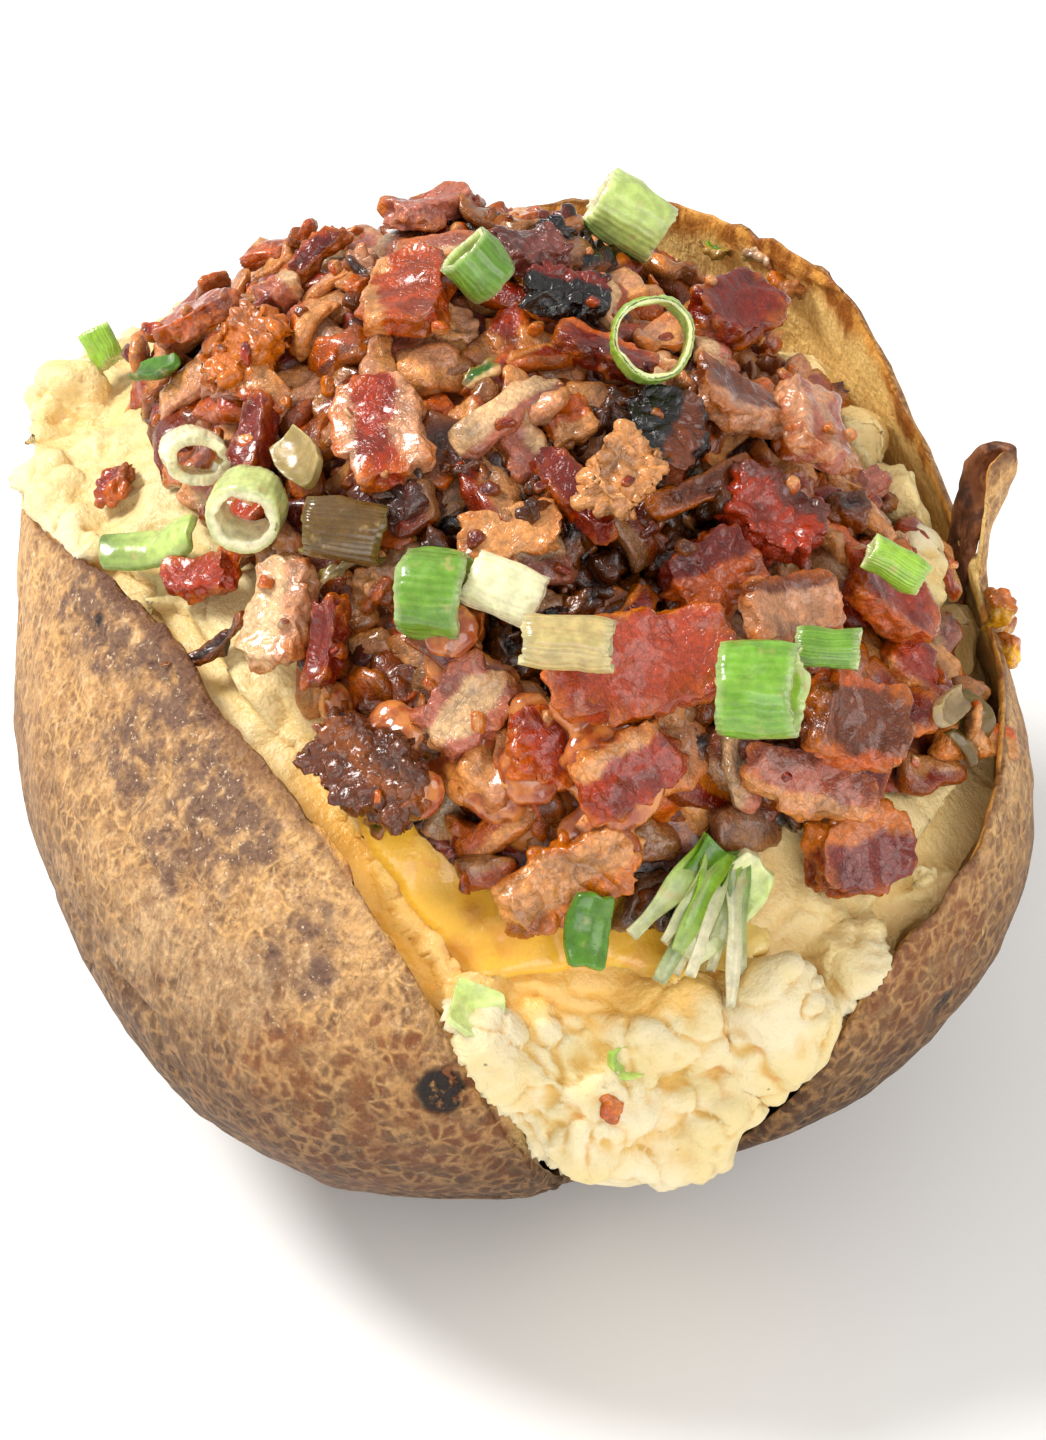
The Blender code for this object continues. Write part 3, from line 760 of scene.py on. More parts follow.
def wall_smears(rng, skin_points):
    """Flesh that clings to the inside of the jacket at the right and the back."""
    wall = tree_of(NODES["skin"])
    places, inward = [], []
    for degrees in np.arange(64, 158, 2.0):
        away = outward(degrees)
        top = min(rim_heights(np.array([away]), skin_points)[0], 61 * MM if degrees > 82 else 50 * MM)
        for drop in rng.uniform(4.0, 12.0, 4):
            hit = wall.ray_cast(Vector((0, 0, top - drop * MM)), away, 100 * MM)
            if hit[0]:
                places.append(np.array(hit[0] - away * 1.6 * MM))
                inward.append(-np.array(away))
    inward = np.array(inward)
    sizes = rng.uniform(2.4, 4.4, len(places)) * MM
    places = np.array(places) + inward * (1.1 * (sizes - 2.4 * MM))[:, None]
    return lump_parts(rng, places, inward, sizes)


def big_lumps():
    """The large lumps: bumpy balls at their places and sizes, as (corners, faces)."""
    points, faces = ball(4)
    parts = []
    for k, (place, half) in enumerate(BIG_LUMPS):
        bumpy = points * (1 + 0.22 * layered(points + 7 * k, 0.8, 3, 5))[:, None]
        parts.append((bumpy * np.array(half) * MM + np.array(place) * MM, faces))
    return parts


def fluffed(points):
    """How far each corner of the flesh moves out, in millimetres: soft lumps, torn in places."""
    near, second = cell_distances(points + 1.6 * MM * noise(points, 3 * MM, 4)[:, None], 7.5 * MM, 6)
    push = 1.25 * layered(points, 6.5 * MM, 2, 21) + 0.5 * (smooth_step(0, 0.12, second - near) - 0.9)
    torn = smooth_step(-0.25, 0.5, noise(points, 7 * MM, 27))
    crumbly = 0.6 * layered(points, 2.4 * MM, 3, 33) + 0.5 * (0.5 - np.abs(noise(points, 1.8 * MM, 34)))
    push += torn * crumbly + 0.1 * noise(points, 1.0 * MM, 35)
    return np.where(near_wall(points), np.minimum(0.5 * push - 1.4, -1.3), push)


def make_flesh():
    """The fluffed flesh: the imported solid, lumps spilling out of it, and crumbs, melted into one body."""
    rng = np.random.default_rng(FLESH_SEED)
    flesh = welded_copy("fluffed_flesh", "flesh")
    skin_points = corners_of(NODES["skin"])
    cover = tree_of(NODES["melted_cheese"])
    parts = spilt_lumps(rng, flesh, skin_points, cover)
    parts += wall_smears(rng, skin_points)
    lumps = joined("flesh_lumps", parts + big_lumps())
    with opened(flesh.data) as bm:
        bm.from_mesh(lumps.data)
    bpy.data.objects.remove(lumps)
    remeshed(flesh, FLESH_VOXEL)
    softened(flesh, 4)
    pushed(flesh, fluffed(corners_of(flesh)) * MM)
    rough = corners_of(flesh)
    copy = new_object("soft_copy", flesh.data.copy())
    softened(copy, 24)
    depth = ((rough - corners_of(copy)) * normals_of(copy)).sum(1) / FLESH_VOXEL
    bpy.data.objects.remove(copy)
    # depth is how far each corner lies below the smoothed surface; the material paints shade in the
    # crevices from it.
    set_value(flesh, "depth", np.clip(depth, -1, 1))
    apart = np.array([cover.find_nearest(Vector(p), 30 * MM)[3] or 30 * MM for p in rough])
    set_value(flesh, "cheesy", smooth_step(9 * MM, 0, apart))
    return finished(flesh, flesh_material(), "flesh", "flesh")


# ---------------------------------------------------------------- cheese

CHEESE_ORANGE = srgb(255, 192, 64)
CHEESE_YELLOW = srgb(255, 214, 98)
CHEESE_AMBER = srgb(240, 160, 52)
CHEESE_BROWN = srgb(160, 84, 34)
BROWNED_PLACES = (((41.5, -24, 45), 3.2), ((39, -20, 49), 2.0))
DOME_CENTRE = Vector((0, 0, 28 * MM))
CHEESE_GRID = (110, 420)  # rows up, columns around
CHEESE_RISE = (math.radians(4), math.radians(88))


def cheese_material():
    n = Nodes("melted_cheese")
    streaks = n.noise(3.2, 4, 0.6, at=n.warped(2.2, 6))
    thick = n.plus(n.attribute("thick"), streaks, 0.9)
    colour = n.mix(n.ramp(thick, 0.75, 1.35), CHEESE_YELLOW, CHEESE_ORANGE)
    runny = n.noise(4, 3, at=n.warped(3, 7))
    colour = n.mix(n.ramp(runny, 0.54, 0.70, 0, 0.65), colour, CHEESE_AMBER)
    from_middle = n.plus(n.distance(CHEESE_MIDDLE), n.centred(streaks), 16.0)
    pale = n.mix(n.ramp(streaks, 0.38, 0.68), srgb(244, 222, 166), srgb(250, 206, 112))
    colour = n.mix(n.ramp(from_middle, 16, 30, 0, 0.9), colour, pale)
    for place, radius in BROWNED_PLACES:
        apart = n.plus(n.distance(place), streaks, 2.0)
        colour = n.mix(n.ramp(apart, radius * 0.7, radius * 1.6, 0.8, 0), colour, CHEESE_BROWN)
    relief = n.plus(n.noise(2.5, 3), n.noise(0.8, 3), 0.3)
    return n.surface(colour, n.patchy(1.5, 0.16, 0.34, 3), relief, 0.25, coat=(0.5, 0.12),
                     scatter=(0.25, 3.0, 1.5, 0.6))


def blurred(grid, times):
    """Averages each value with its neighbours: rows are circles, columns end at the top and bottom."""
    for _ in range(times):
        grid = (np.roll(grid, 1, 1) + np.roll(grid, -1, 1) + 2 * grid) / 4
        padded = np.concatenate([grid[:1], grid, grid[-1:]])
        grid = (padded[:-2] + padded[2:] + 2 * grid) / 4
    return grid


def make_cheese(flesh):
    """Melted cheese: a sheet that has sagged onto the flesh and thins out into it."""
    rows, around = CHEESE_GRID
    azimuth = np.linspace(0, 2 * math.pi, around, endpoint=False)
    a, e = np.meshgrid(azimuth, np.linspace(*CHEESE_RISE, rows))
    directions = np.stack([np.cos(e) * np.cos(a), np.cos(e) * np.sin(a), np.sin(e)], -1).reshape(-1, 3)
    cad_flesh, cad_cheese, ground = (radii(obj, DOME_CENTRE, directions) for obj in
                                     (NODES["flesh"], NODES["melted_cheese"], flesh))
    covered = (np.nan_to_num(cad_cheese) > cad_flesh).astype(float).reshape(rows, around)
    plain = directions * ground[:, None] + np.array(DOME_CENTRE)
    ground = ground.reshape(rows, around)

    def uneven(span, layers, seed):
        return layered(plain, span * MM, layers, seed).reshape(rows, around)

    spread = blurred(covered, 8) + 0.34 * uneven(8, 3, 41)
    apart = np.linalg.norm(plain - np.array(CHEESE_MIDDLE) * MM, axis=1).reshape(rows, around) / MM
    middle = smooth_step(30, 17, apart + 7 * uneven(9, 2, 44))
    patches = smooth_step(0.3, 0.65, uneven(12, 1, 45))
    over = smooth_step(0.25, 0.85, spread) * np.maximum(middle, 0.8 * patches)
    thick = -2.0 + 3.1 * over + 0.25 * uneven(4, 2, 42)
    radius = blurred(ground, 5) * 0.75 + ground * 0.25 + thick * MM
    points = directions * radius.reshape(-1, 1) + np.array(DOME_CENTRE)
    shows = (thick.ravel() > -1.3) & (spread.ravel() < 1.6)
    grid = np.arange(rows * around).reshape(rows, around)
    faces = quads(np.pad(grid, ((0, 0), (0, 1)), "wrap"))
    cheese = shape_of("cheese_sheet", points, faces[shows[faces].any(1)])
    set_value(cheese, "thick", smooth_step(-1.0, 1.2, thick.ravel()))
    with opened(cheese.data) as bm:
        bmesh.ops.delete(bm, geom=[v for v in bm.verts if not v.link_faces], context="VERTS")
    softened(cheese, 2)
    modified(cheese, "SOLIDIFY", thickness=0.9 * MM, offset=-1)
    return finished(cheese, cheese_material(), "melted_cheese", "melted_cheese")


# ---------------------------------------------------------------- bacon

LEAN_DEEP = srgb(128, 40, 26)
LEAN_RED = srgb(170, 62, 40)
LEAN_ORANGE = srgb(206, 100, 50)
LEAN_PINK = srgb(192, 118, 98)
LEAN_PURPLE = srgb(122, 66, 56)
LEAN_BROWN = srgb(120, 60, 32)
FAT_GOLD = srgb(230, 164, 108)
FAT_TAN = srgb(220, 160, 122)
FAT_AMBER = srgb(212, 122, 60)
FAT_PALE = srgb(236, 196, 150)
MEAT_DARK = srgb(62, 28, 16)
MEAT_BROWN = srgb(92, 44, 22)
CHAR = srgb(22, 15, 13)


def bacon_material():
    n = Nodes("crisp_bacon")
    tint = n.attribute("tint", "Color")
    crackle = n.ramp(n.cells(0.85, "DISTANCE_TO_EDGE", at=n.warped(0.5, 2)), 0.0, 0.12, 1, 0)
    mottle = n.noise(2.2, 4, 0.6)
    fine = n.noise(0.6, 3)
    colour = n.mix(n.ramp(mottle, 0.4, 0.7, 0, 0.35), tint, n.shaded(tint, 0.45))
    colour = n.mix(n.times(crackle, 0.16), colour, n.dyed(tint, srgb(150, 90, 70)))
    colour = n.shaded(colour, n.ramp(fine, 0.35, 0.68, 0.80, 1.16))
    rich = n.add("ShaderNodeHueSaturation")
    n.put_all([rich.inputs[name] for name in ("Saturation", "Value", "Color")], 1.08, 0.92, colour)
    relief = n.plus(n.plus(fine, mottle, 1.3), crackle, -0.2)
    return n.surface(rich.outputs["Color"], n.patchy(1.6, 0.14, 0.34), relief, 0.17, coat=(0.5, 0.08),
                     scatter=(0.12, 1.8, 0.7, 0.4))


def striped(across, stripes, lean, fat, wobble):
    """Lean with stripes of fat: each stripe is (middle, half width) as shares of the half width."""
    fatty = np.zeros(len(across))
    for middle, half in stripes:
        fatty = np.maximum(fatty, smooth_step(half * 1.25, half * 0.8, np.abs(across + wobble - middle)))
    return blend(lean, fat, fatty[:, None])


# How far the knobs of each kind of piece stand out, in millimetres
KNOBS = {"slab": 0.12, "gnarly": 0.45, "crumbly": 0.7}

# How each larger piece looks: shape, lean, fat, stripes of fat across it
BACON_LOOKS = {
    1: ("gnarly", LEAN_RED, LEAN_PURPLE, ((0.7, 0.3),)),
    2: ("gnarly", LEAN_ORANGE, LEAN_DEEP, ((-0.6, 0.4),)),
    3: ("gnarly", CHAR, LEAN_BROWN, ((0.5, 0.3),)),
    4: ("slab", LEAN_BROWN, FAT_TAN, ((0.6, 0.4),)),
    5: ("gnarly", LEAN_PURPLE, LEAN_BROWN, ()),
    6: ("slab", LEAN_DEEP, LEAN_RED, ()),
    7: ("crumbly", srgb(112, 58, 32), srgb(150, 84, 44), ((0.2, 0.3),)),
    8: ("slab", LEAN_PINK, FAT_PALE, ((0.1, 0.35),)),
    9: ("slab", FAT_PALE, FAT_TAN, ((0.6, 0.3),)),
    10: ("slab", LEAN_RED, LEAN_DEEP, ()),
    11: ("gnarly", FAT_AMBER, FAT_GOLD, ((0.3, 0.5),)),
    12: ("slab", LEAN_DEEP, FAT_AMBER, ((0.75, 0.5),)),
    13: ("slab", LEAN_PINK, FAT_GOLD, ((-0.8, 0.4),)),
    14: ("slab", LEAN_BROWN, LEAN_ORANGE, ((0.9, 0.2), (-0.9, 0.2))),
    15: ("slab", LEAN_RED, LEAN_ORANGE, ((0.9, 0.15),)),
    16: ("slab", LEAN_RED, FAT_GOLD, ((0.8, 0.3),)),
    17: ("slab", srgb(186, 84, 62), FAT_AMBER, ((-0.95, 0.12),)),
    18: ("slab", FAT_TAN, LEAN_BROWN, ((-0.7, 0.3),)),
    19: ("slab", LEAN_RED, LEAN_ORANGE, ((0.8, 0.25),)),
    20: ("slab", LEAN_DEEP, LEAN_RED, ()),
    21: ("crumbly", FAT_GOLD, FAT_TAN, ()),
    22: ("slab", FAT_GOLD, FAT_TAN, ()),
    23: ("slab", LEAN_DEEP, LEAN_ORANGE, ((0.8, 0.3),)),
    24: ("slab", LEAN_RED, FAT_TAN, ((0.72, 0.42), (-0.85, 0.25))),
    25: ("slab", srgb(184, 78, 42), FAT_GOLD, ((-0.8, 0.2),)),
    26: ("crumbly", FAT_AMBER, FAT_GOLD, ()),
    27: ("slab", LEAN_PINK, LEAN_ORANGE, ((0.85, 0.15),)),
    28: ("slab", LEAN_DEEP, LEAN_RED, ()),
    29: ("slab", LEAN_PINK, FAT_AMBER, ((-0.85, 0.2),)),
    30: ("slab", LEAN_DEEP, LEAN_PURPLE, ()),
    31: ("slab", LEAN_PINK, FAT_TAN, ((0.0, 0.2), (0.8, 0.25))),
    32: ("gnarly", CHAR, LEAN_DEEP, ((-0.6, 0.3),)),
}


def refined(name, node):
    """A fine soft copy of a packed topping: the copy, its middle and axes, its corners along them, and
    half its size."""
    piece = welded_copy(name, node)
    subdivided(piece, 3, "SIMPLE")
    softened(piece, 5)
    middle, axes = own_axes(piece)
    local = (corners_of(piece) - middle) @ axes.T
    return piece, middle, axes, local, np.abs(local).max(0)


def make_bacon_piece(number, look, material):
    """One of the larger pieces of bacon, refined from its solid."""
    shape, lean, fat, stripes = look
    node = f"bacon_{number:02}"
    piece, middle, axes, local, half = refined(f"rasher_{number:02}", node)
    seed = 100 + 7 * number
    shift = np.array((seed * 0.013, 0, 0))
    out = local * (1, 1, 0)
    buckle = 0.75 * noise(out + shift, 3.8 * MM, seed) + 0.3 * noise(out + shift, 1.9 * MM, seed + 1)
    out /= np.linalg.norm(out, axis=1)[:, None] + TINY
    edge = smooth_step(0.6, 1.0, np.sqrt((local[:, 0] / half[0]) ** 2 + (local[:, 1] / half[1]) ** 2))
    ragged = layered(local + shift, 1.7 * MM, 3, seed + 2)
    local[:, 2] += buckle * MM
    local += out * (edge * ragged * 0.75 * MM)[:, None]
    set_corners(piece, local @ axes + middle)
    read = local + shift
    near, second = cell_distances(read, 1.9 * MM, seed + 3)
    knobs = KNOBS[shape] * (smooth_step(0, 0.45, second - near) - 0.5)
    pushed(piece, (knobs + 0.09 * layered(read, 1.1 * MM, 2, seed + 4)) * MM)
    if shape == "crumbly":
        pushed(piece, 0.45 * MM * layered(read, 3 * MM, 2, seed + 5))
    wobble = 0.22 * layered(read, 2.6 * MM, 3, seed + 6)
    colours = striped(local[:, 1] / half[1], stripes, lean, fat, wobble)
    colours *= 1 - 0.4 * smooth_step(0.15, 0.8, layered(read, 3.2 * MM, 3, seed + 7))[:, None]
    if shape == "slab":
        colours = blend(colours, FAT_AMBER, (edge * smooth_step(-0.2, 0.5, ragged))[:, None] * 0.6)
    set_tint(piece, colours)
    return finished(piece, material, "bacon", node)


# ---------------------------------------------------------------- scallion

GREEN_DEEP = srgb(54, 96, 20)
GREEN = srgb(92, 142, 28)
GREEN_BRIGHT = srgb(142, 186, 44)
GREEN_PALE = srgb(192, 212, 118)
IVORY = srgb(238, 232, 190)
BEIGE = srgb(196, 168, 112)
OLIVE = srgb(122, 104, 36)
OLIVE_BROWN = srgb(96, 66, 26)

# Outside and inside of each ring
TUBE_LOOKS = {
    1: (GREEN, GREEN_PALE),
    2: (GREEN_BRIGHT, GREEN_PALE),
    3: (srgb(196, 206, 130), IVORY),
    4: (GREEN, srgb(170, 196, 84)),
    5: (IVORY, IVORY),
    6: (BEIGE, OLIVE),
    7: (srgb(104, 160, 28), srgb(160, 196, 76)),
    8: (GREEN, GREEN_BRIGHT),
    9: (GREEN_BRIGHT, GREEN_PALE),
    10: (IVORY, srgb(226, 216, 156)),
    11: (GREEN_PALE, IVORY),
    12: (GREEN_BRIGHT, GREEN_PALE),
    13: (OLIVE_BROWN, OLIVE),
}

TUBE_SIDES = 144
THICK_WALLS = {3: 1.3, 10: 1.2, 11: 1.2}  # in millimetres
END_COLOURS = {13: (OLIVE, OLIVE)}  # the ribs and the ends, where they aren't pale

# The two colours of each flat strip
LEAF_LOOKS = {
    1: (srgb(176, 200, 88), IVORY),
    2: (GREEN_DEEP, GREEN),
    3: (GREEN_PALE, IVORY),
    4: (GREEN_BRIGHT, GREEN_PALE),
    5: (GREEN_PALE, GREEN_DEEP),
    6: (GREEN, GREEN_DEEP),
    7: (OLIVE, BEIGE),
    8: (OLIVE_BROWN, OLIVE),
    9: (BEIGE, srgb(140, 116, 84)),
}


def scallion_material():
    n = Nodes("scallion")
    mottle = n.ramp(n.noise(1.4, 4, 0.6), 0.3, 0.7, 0.78, 1.15)
    colour = n.blotched(n.shaded(n.attribute("tint", "Color"), mottle), BEIGE, 2.0, 0.60, 0.72, 0.45)
    return n.surface(colour, n.patchy(1.0, 0.22, 0.36), n.noise(0.8, 2), 0.05, coat=(0.4, 0.12),
                     scatter=(0.3, 0.8, 1.4, 0.5))


def tube_frame(node):
    """The middle, half sizes and axes of a packed ring, with its bore along the first axis."""
    walls = np.zeros((3, 3))
    for face in NODES[node].data.polygons:
        walls += face.area * np.outer(face.normal, face.normal)
    bore = np.linalg.eigh(walls)[1][:, 0]
    points = corners_of(NODES[node])
    mean = points.mean(0)
    flat = (points - mean) - np.outer((points - mean) @ bore, bore)
    wide = np.linalg.eigh(np.cov(flat.T))[1][:, 2]
    axes = np.array((bore, wide, np.cross(bore, wide)))
    local = (points - mean) @ axes.T
    middle = mean + (local.max(0) + local.min(0)) / 2 @ axes
    half = (local.max(0) - local.min(0)) / 2 * 0.97
    half[0] -= 0.14 * half[1]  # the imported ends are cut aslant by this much
    return middle, half, axes


def tube_section(along=9, across=4):
    """Once round a ring's wall: how far out each point is, 0 to 1, and how far along, -1 to 1."""
    section = [(1, s) for s in np.linspace(-1, 1, along)]
    section += [(1 - k / across, 1) for k in range(1, across)]
    section += [(0, s) for s in np.linspace(1, -1, along)]
    section += [(k / across, -1) for k in range(1, across)]
    return np.array(section).T[..., None]


def make_tube(number, look, material):
    """A cut ring of scallion: ribbed walls, uneven ends, paler inside."""
    node = f"scallion_tube_{number:02}"
    middle, half, axes = tube_frame(node)
    seed = 400 + 9 * number
    out, x = tube_section()
    turn = np.linspace(0, 2 * math.pi, TUBE_SIDES, endpoint=False)
    circle = np.stack([np.zeros(TUBE_SIDES), np.cos(turn), np.sin(turn)], 1)
    ribs = np.cos(turn * (29 + number % 5)) * 0.4 + noise(circle * 11 + number, 1.0, seed)
    oval = 0.97 + 0.06 * noise(circle * 1.3 + number, 1.0, seed + 1) + 0.03 * np.cos(2 * turn + seed)
    slant = 0.10 * noise(circle * 1.6 - number, 1.0, seed + 2) + 0.05 * noise(circle * 8, 1.0, seed + 3)
    wall = THICK_WALLS.get(number, 0.75) * MM * (1 + 0.25 * noise(circle * 2.5 + 3, 1.0, seed + 4))
    outer = out > 0.5
    bulge = 1 - 0.06 * x**2 * np.where(outer, 1, -0.4)
    raised = ribs * 0.055 * MM * np.where(outer, 1, 0.5)
    wide, high = ((size * oval - (1 - out) * wall + raised) * bulge for size in half[1:])
    along = (x + slant * x) * half[0]
    local = np.stack([along, wide * np.cos(turn), high * np.sin(turn)], -1).reshape(-1, 3)
    local += 0.2 * MM * layered(local + number, 2.2 * MM, 2, seed + 5)[:, None]
    grid = np.pad(np.arange(along.size).reshape(along.shape), ((0, 1), (0, 1)), "wrap")
    ring = shape_of(f"scallion_ring_{number:02}", local @ axes + middle, quads(grid))
    with opened(ring.data) as bm:
        bmesh.ops.recalc_face_normals(bm, faces=bm.faces)
    set_tint(ring, tube_colours(look, out, x, ribs, *END_COLOURS.get(number, (GREEN_PALE, IVORY))))
    return finished(ring, material, "scallion", node)


def tube_colours(look, out, x, ribs, rib_colour, end_colour):
    """Lined outside, plain inside, and pale where the wall is cut through."""
    outside = np.repeat(smooth_step(0.2, 0.9, out), TUBE_SIDES)[:, None]
    ends = np.repeat((np.abs(x) > 0.99).astype(float), TUBE_SIDES)[:, None] * (1 - 0.4 * outside)
    lines = (0.5 + 0.5 * np.tile(ribs, len(out)))[:, None] * 0.22
    return blend(blend(look[1], blend(look[0], rib_colour, lines), outside), end_colour, 0.5 * ends)


def make_leaf(number, look, material):
    """A flat strip of scallion: curled, ribbed lengthwise, frayed at its ends."""
    node = f"scallion_leaf_{number:02}"
    piece, middle, axes, local, half = refined(f"scallion_strip_{number:02}", node)
    seed = 600 + 11 * number
    shift = np.array((seed * 0.011, 0, 0))
    lengthwise = local * (0.12, 1, 0) + shift
    ribs = noise(lengthwise, 0.5 * MM, seed)
    end = smooth_step(0.6, 1.0, np.abs(local[:, 0]) / half[0])
    waves = noise(local * (1, 1, 0) + shift, 3 * MM, seed + 1)
    local[:, 2] += 0.12 * ribs * MM * np.sign(local[:, 2]) + 0.5 * MM * waves
    local[:, 2] += 0.9 * MM * (local[:, 1] / half[1]) ** 2
    local[:, 0] += np.sign(local[:, 0]) * end * 0.35 * MM * noise(lengthwise, 0.9 * MM, seed + 2)
    local[:, 1] *= 1 + 0.12 * noise(local * (1, 0, 0) + shift, 2.2 * MM, seed + 3)
    set_corners(piece, local @ axes + middle)
    share = smooth_step(-0.7, 0.7, noise(local * (0.5, 1, 0) + shift, 4 * MM, seed + 4))
    set_tint(piece, blend(*look, np.clip(share + 0.25 * ribs, 0, 1)[:, None]))
    return finished(piece, material, "scallion", node)


# ---------------------------------------------------------------- heap

# Shares of the chopped pieces, their lean and fat, and how much of each is fat
MIXED = (
    (0.14, LEAN_DEEP, FAT_AMBER, 0.20),
    (0.18, LEAN_RED, FAT_GOLD, 0.35),
    (0.19, LEAN_ORANGE, FAT_GOLD, 0.50),
    (0.10, LEAN_PINK, FAT_PALE, 0.45),
    (0.25, FAT_GOLD, FAT_TAN, 0.50),
    (0.14, LEAN_BROWN, LEAN_ORANGE, 0.35),
)
CRUMBS = (
    (0.22, LEAN_DEEP, LEAN_RED, 0.3),
    (0.18, LEAN_ORANGE, FAT_GOLD, 0.5),
    (0.24, FAT_GOLD, FAT_AMBER, 0.5),
    (0.16, LEAN_BROWN, MEAT_BROWN, 0.5),
    (0.12, LEAN_PINK, FAT_PALE, 0.5),
    (0.02, CHAR, MEAT_DARK, 0.4),
)
DARKS = (
    (0.55, MEAT_DARK, MEAT_BROWN, 0.35),
    (0.27, MEAT_BROWN, LEAN_BROWN, 0.4),
    (0.18, CHAR, MEAT_DARK, 0.4),
)

# Where the dark crumble lies thick, and how far it reaches, in millimetres
DARK_PLACES = (
    ((20.7, 3.1, 73), 9),
    ((14.2, -13, 73.7), 7),
    ((27.4, -9.1, 67.9), 8),
    ((16, 6.4, 75.7), 6),
    ((43.8, -4.7, 47.3), 5),
    ((42, 10.1, 49.5), 5),
    ((28.6, -22.7, 58.3), 5),
    ((-14, 12, 78), 6),
)


def dark_near(points):
    """From 0 to 1, how thick the dark crumble lies there."""
    most = np.zeros(len(points))
    for place, radius in DARK_PLACES:
        apart = np.linalg.norm(points - np.array(place) * MM, axis=1) / MM
        most = np.maximum(most, smooth_step(radius * 1.3, radius * 0.5, apart))
    return most


def heap_material():
    n = Nodes("heap_core_meat_and_painted_shade")
    lumps = n.cells(2.2, at=n.warped(0.6, 2))
    tone = n.blotched(MEAT_BROWN, LEAN_RED, 3.5, 0.4, 0.62, detail=4)
    tone = n.blotched(tone, FAT_AMBER, 5, 0.46, 0.62, 0.8)
    tone = n.mix(n.attribute("dark"), tone, MEAT_DARK)
    # Painted shade: the colour darkens towards the cells' edges, standing in for shaded gaps.
    colour = n.mix(n.ramp(lumps, 0.2, 0.75, 0, 0.8), tone, MEAT_DARK)
    relief = n.plus(n.noise(1.8, 3), n.noise(0.7, 3), 0.5)
    return n.surface(colour, n.patchy(1.2, 0.2, 0.45), relief, 0.4, coat=(0.5, 0.12))


def make_core():
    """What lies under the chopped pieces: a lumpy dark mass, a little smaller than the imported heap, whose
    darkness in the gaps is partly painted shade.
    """
    core = welded_copy("heap_core", "bacon_heap")
    remeshed(core, CORE_CELL)
    softened(core, 4)
    points = corners_of(core)
    upper = smooth_step(-0.25, 0.15, normals_of(core)[:, 2])
    near, second = cell_distances(points, 4.2 * MM, 61)
    fine_near, fine_second = cell_distances(points, 1.9 * MM, 62)
    lumps = 1.6 * smooth_step(0, 0.5, second - near) + 0.6 * smooth_step(0, 0.5, fine_second - fine_near)
    pushed(core, (-3.4 + lumps) * upper * MM)
    set_value(core, "dark", dark_near(points))
    return finished(core, heap_material(), "bacon_heap", "bacon_heap")


def mixed_colours(rng, mixture, count):
    """For each piece two colours, and the line across it where fat begins."""
    shares = np.array([row[0] for row in mixture])
    kinds = rng.choice(len(mixture), count, p=shares / shares.sum())
    lean = np.array([mixture[k][1] for k in kinds]) * rng.uniform(0.75, 1.25, (count, 1))
    fat = np.array([mixture[k][2] for k in kinds]) * rng.uniform(0.85, 1.15, (count, 1))
    line = 1 - 2 * np.array([mixture[k][3] for k in kinds]) + rng.uniform(-0.5, 0.5, count)
    return lean, fat, line


def small_shapes(rng, seed, base, halves, rough, knobs, curl):
    """Curled, tapered, crinkled pieces of these half sizes, and where their noise was read."""
    count, size = len(halves), len(base)
    local = base[None] * halves[:, None]
    local[..., 2] += rng.uniform(-curl, curl, count)[:, None] * (base[:, 0] ** 2 - 0.35) * halves[:, :1]
    local[..., 1] += rng.uniform(-0.3, 0.3, count)[:, None] * base[:, 0] * halves[:, 1:2]
    local[..., 1] *= 1 - rng.uniform(-0.35, 0.35, count)[:, None] * base[:, 0]
    read = (local + rng.uniform(0, 1, (count, 1, 3))).reshape(-1, 3)
    crinkle = noise(read * (1, 1, 0.3), 2.0 * MM, seed + 21).reshape(count, size)
    local[..., 2] += crinkle * halves[:, 2:] * 0.55
    near, second = cell_distances(read, 1.5 * MM, seed + 5)
    push = rough * layered(read, 2.5 * MM, 2, seed) + knobs * (smooth_step(0, 0.5, second - near) - 0.5)
    scale = np.clip(halves.mean(1) / (1.6 * MM), 0.35, 1.2)[:, None]
    away = base / np.linalg.norm(base, axis=1)[:, None]
    return local + away * (push.reshape(count, size) * scale * MM)[..., None], read


def small_colours(rng, seed, base, read, mixture, count):
    """Lean and fat with golden rims, toasted in places, and darker below with painted shade."""
    lean, fat, line = mixed_colours(rng, mixture, count)
    wobble = 0.35 * layered(read, 1.8 * MM, 2, seed + 9).reshape(count, -1)
    share = smooth_step(-0.16, 0.16, base[:, 1] + wobble - line[:, None])[..., None]
    rim = smooth_step(0.55, 0.95, np.linalg.norm(base[:, :2], axis=1))[:, None]
    golden = rim * rng.uniform(0.0, 0.75, count)[:, None, None]
    colours = blend(blend(lean[:, None], fat[:, None], share), FAT_AMBER, golden)
    toast = smooth_step(0.1, 0.9, layered(read, 2.6 * MM, 2, seed + 13)).reshape(count, -1, 1)
    # The last factor is painted shade on the underside of each piece.
    return colours * (1 - 0.45 * toast) * (1 - smooth_step(0.1, -0.7, base[:, 2])[:, None] * 0.45)


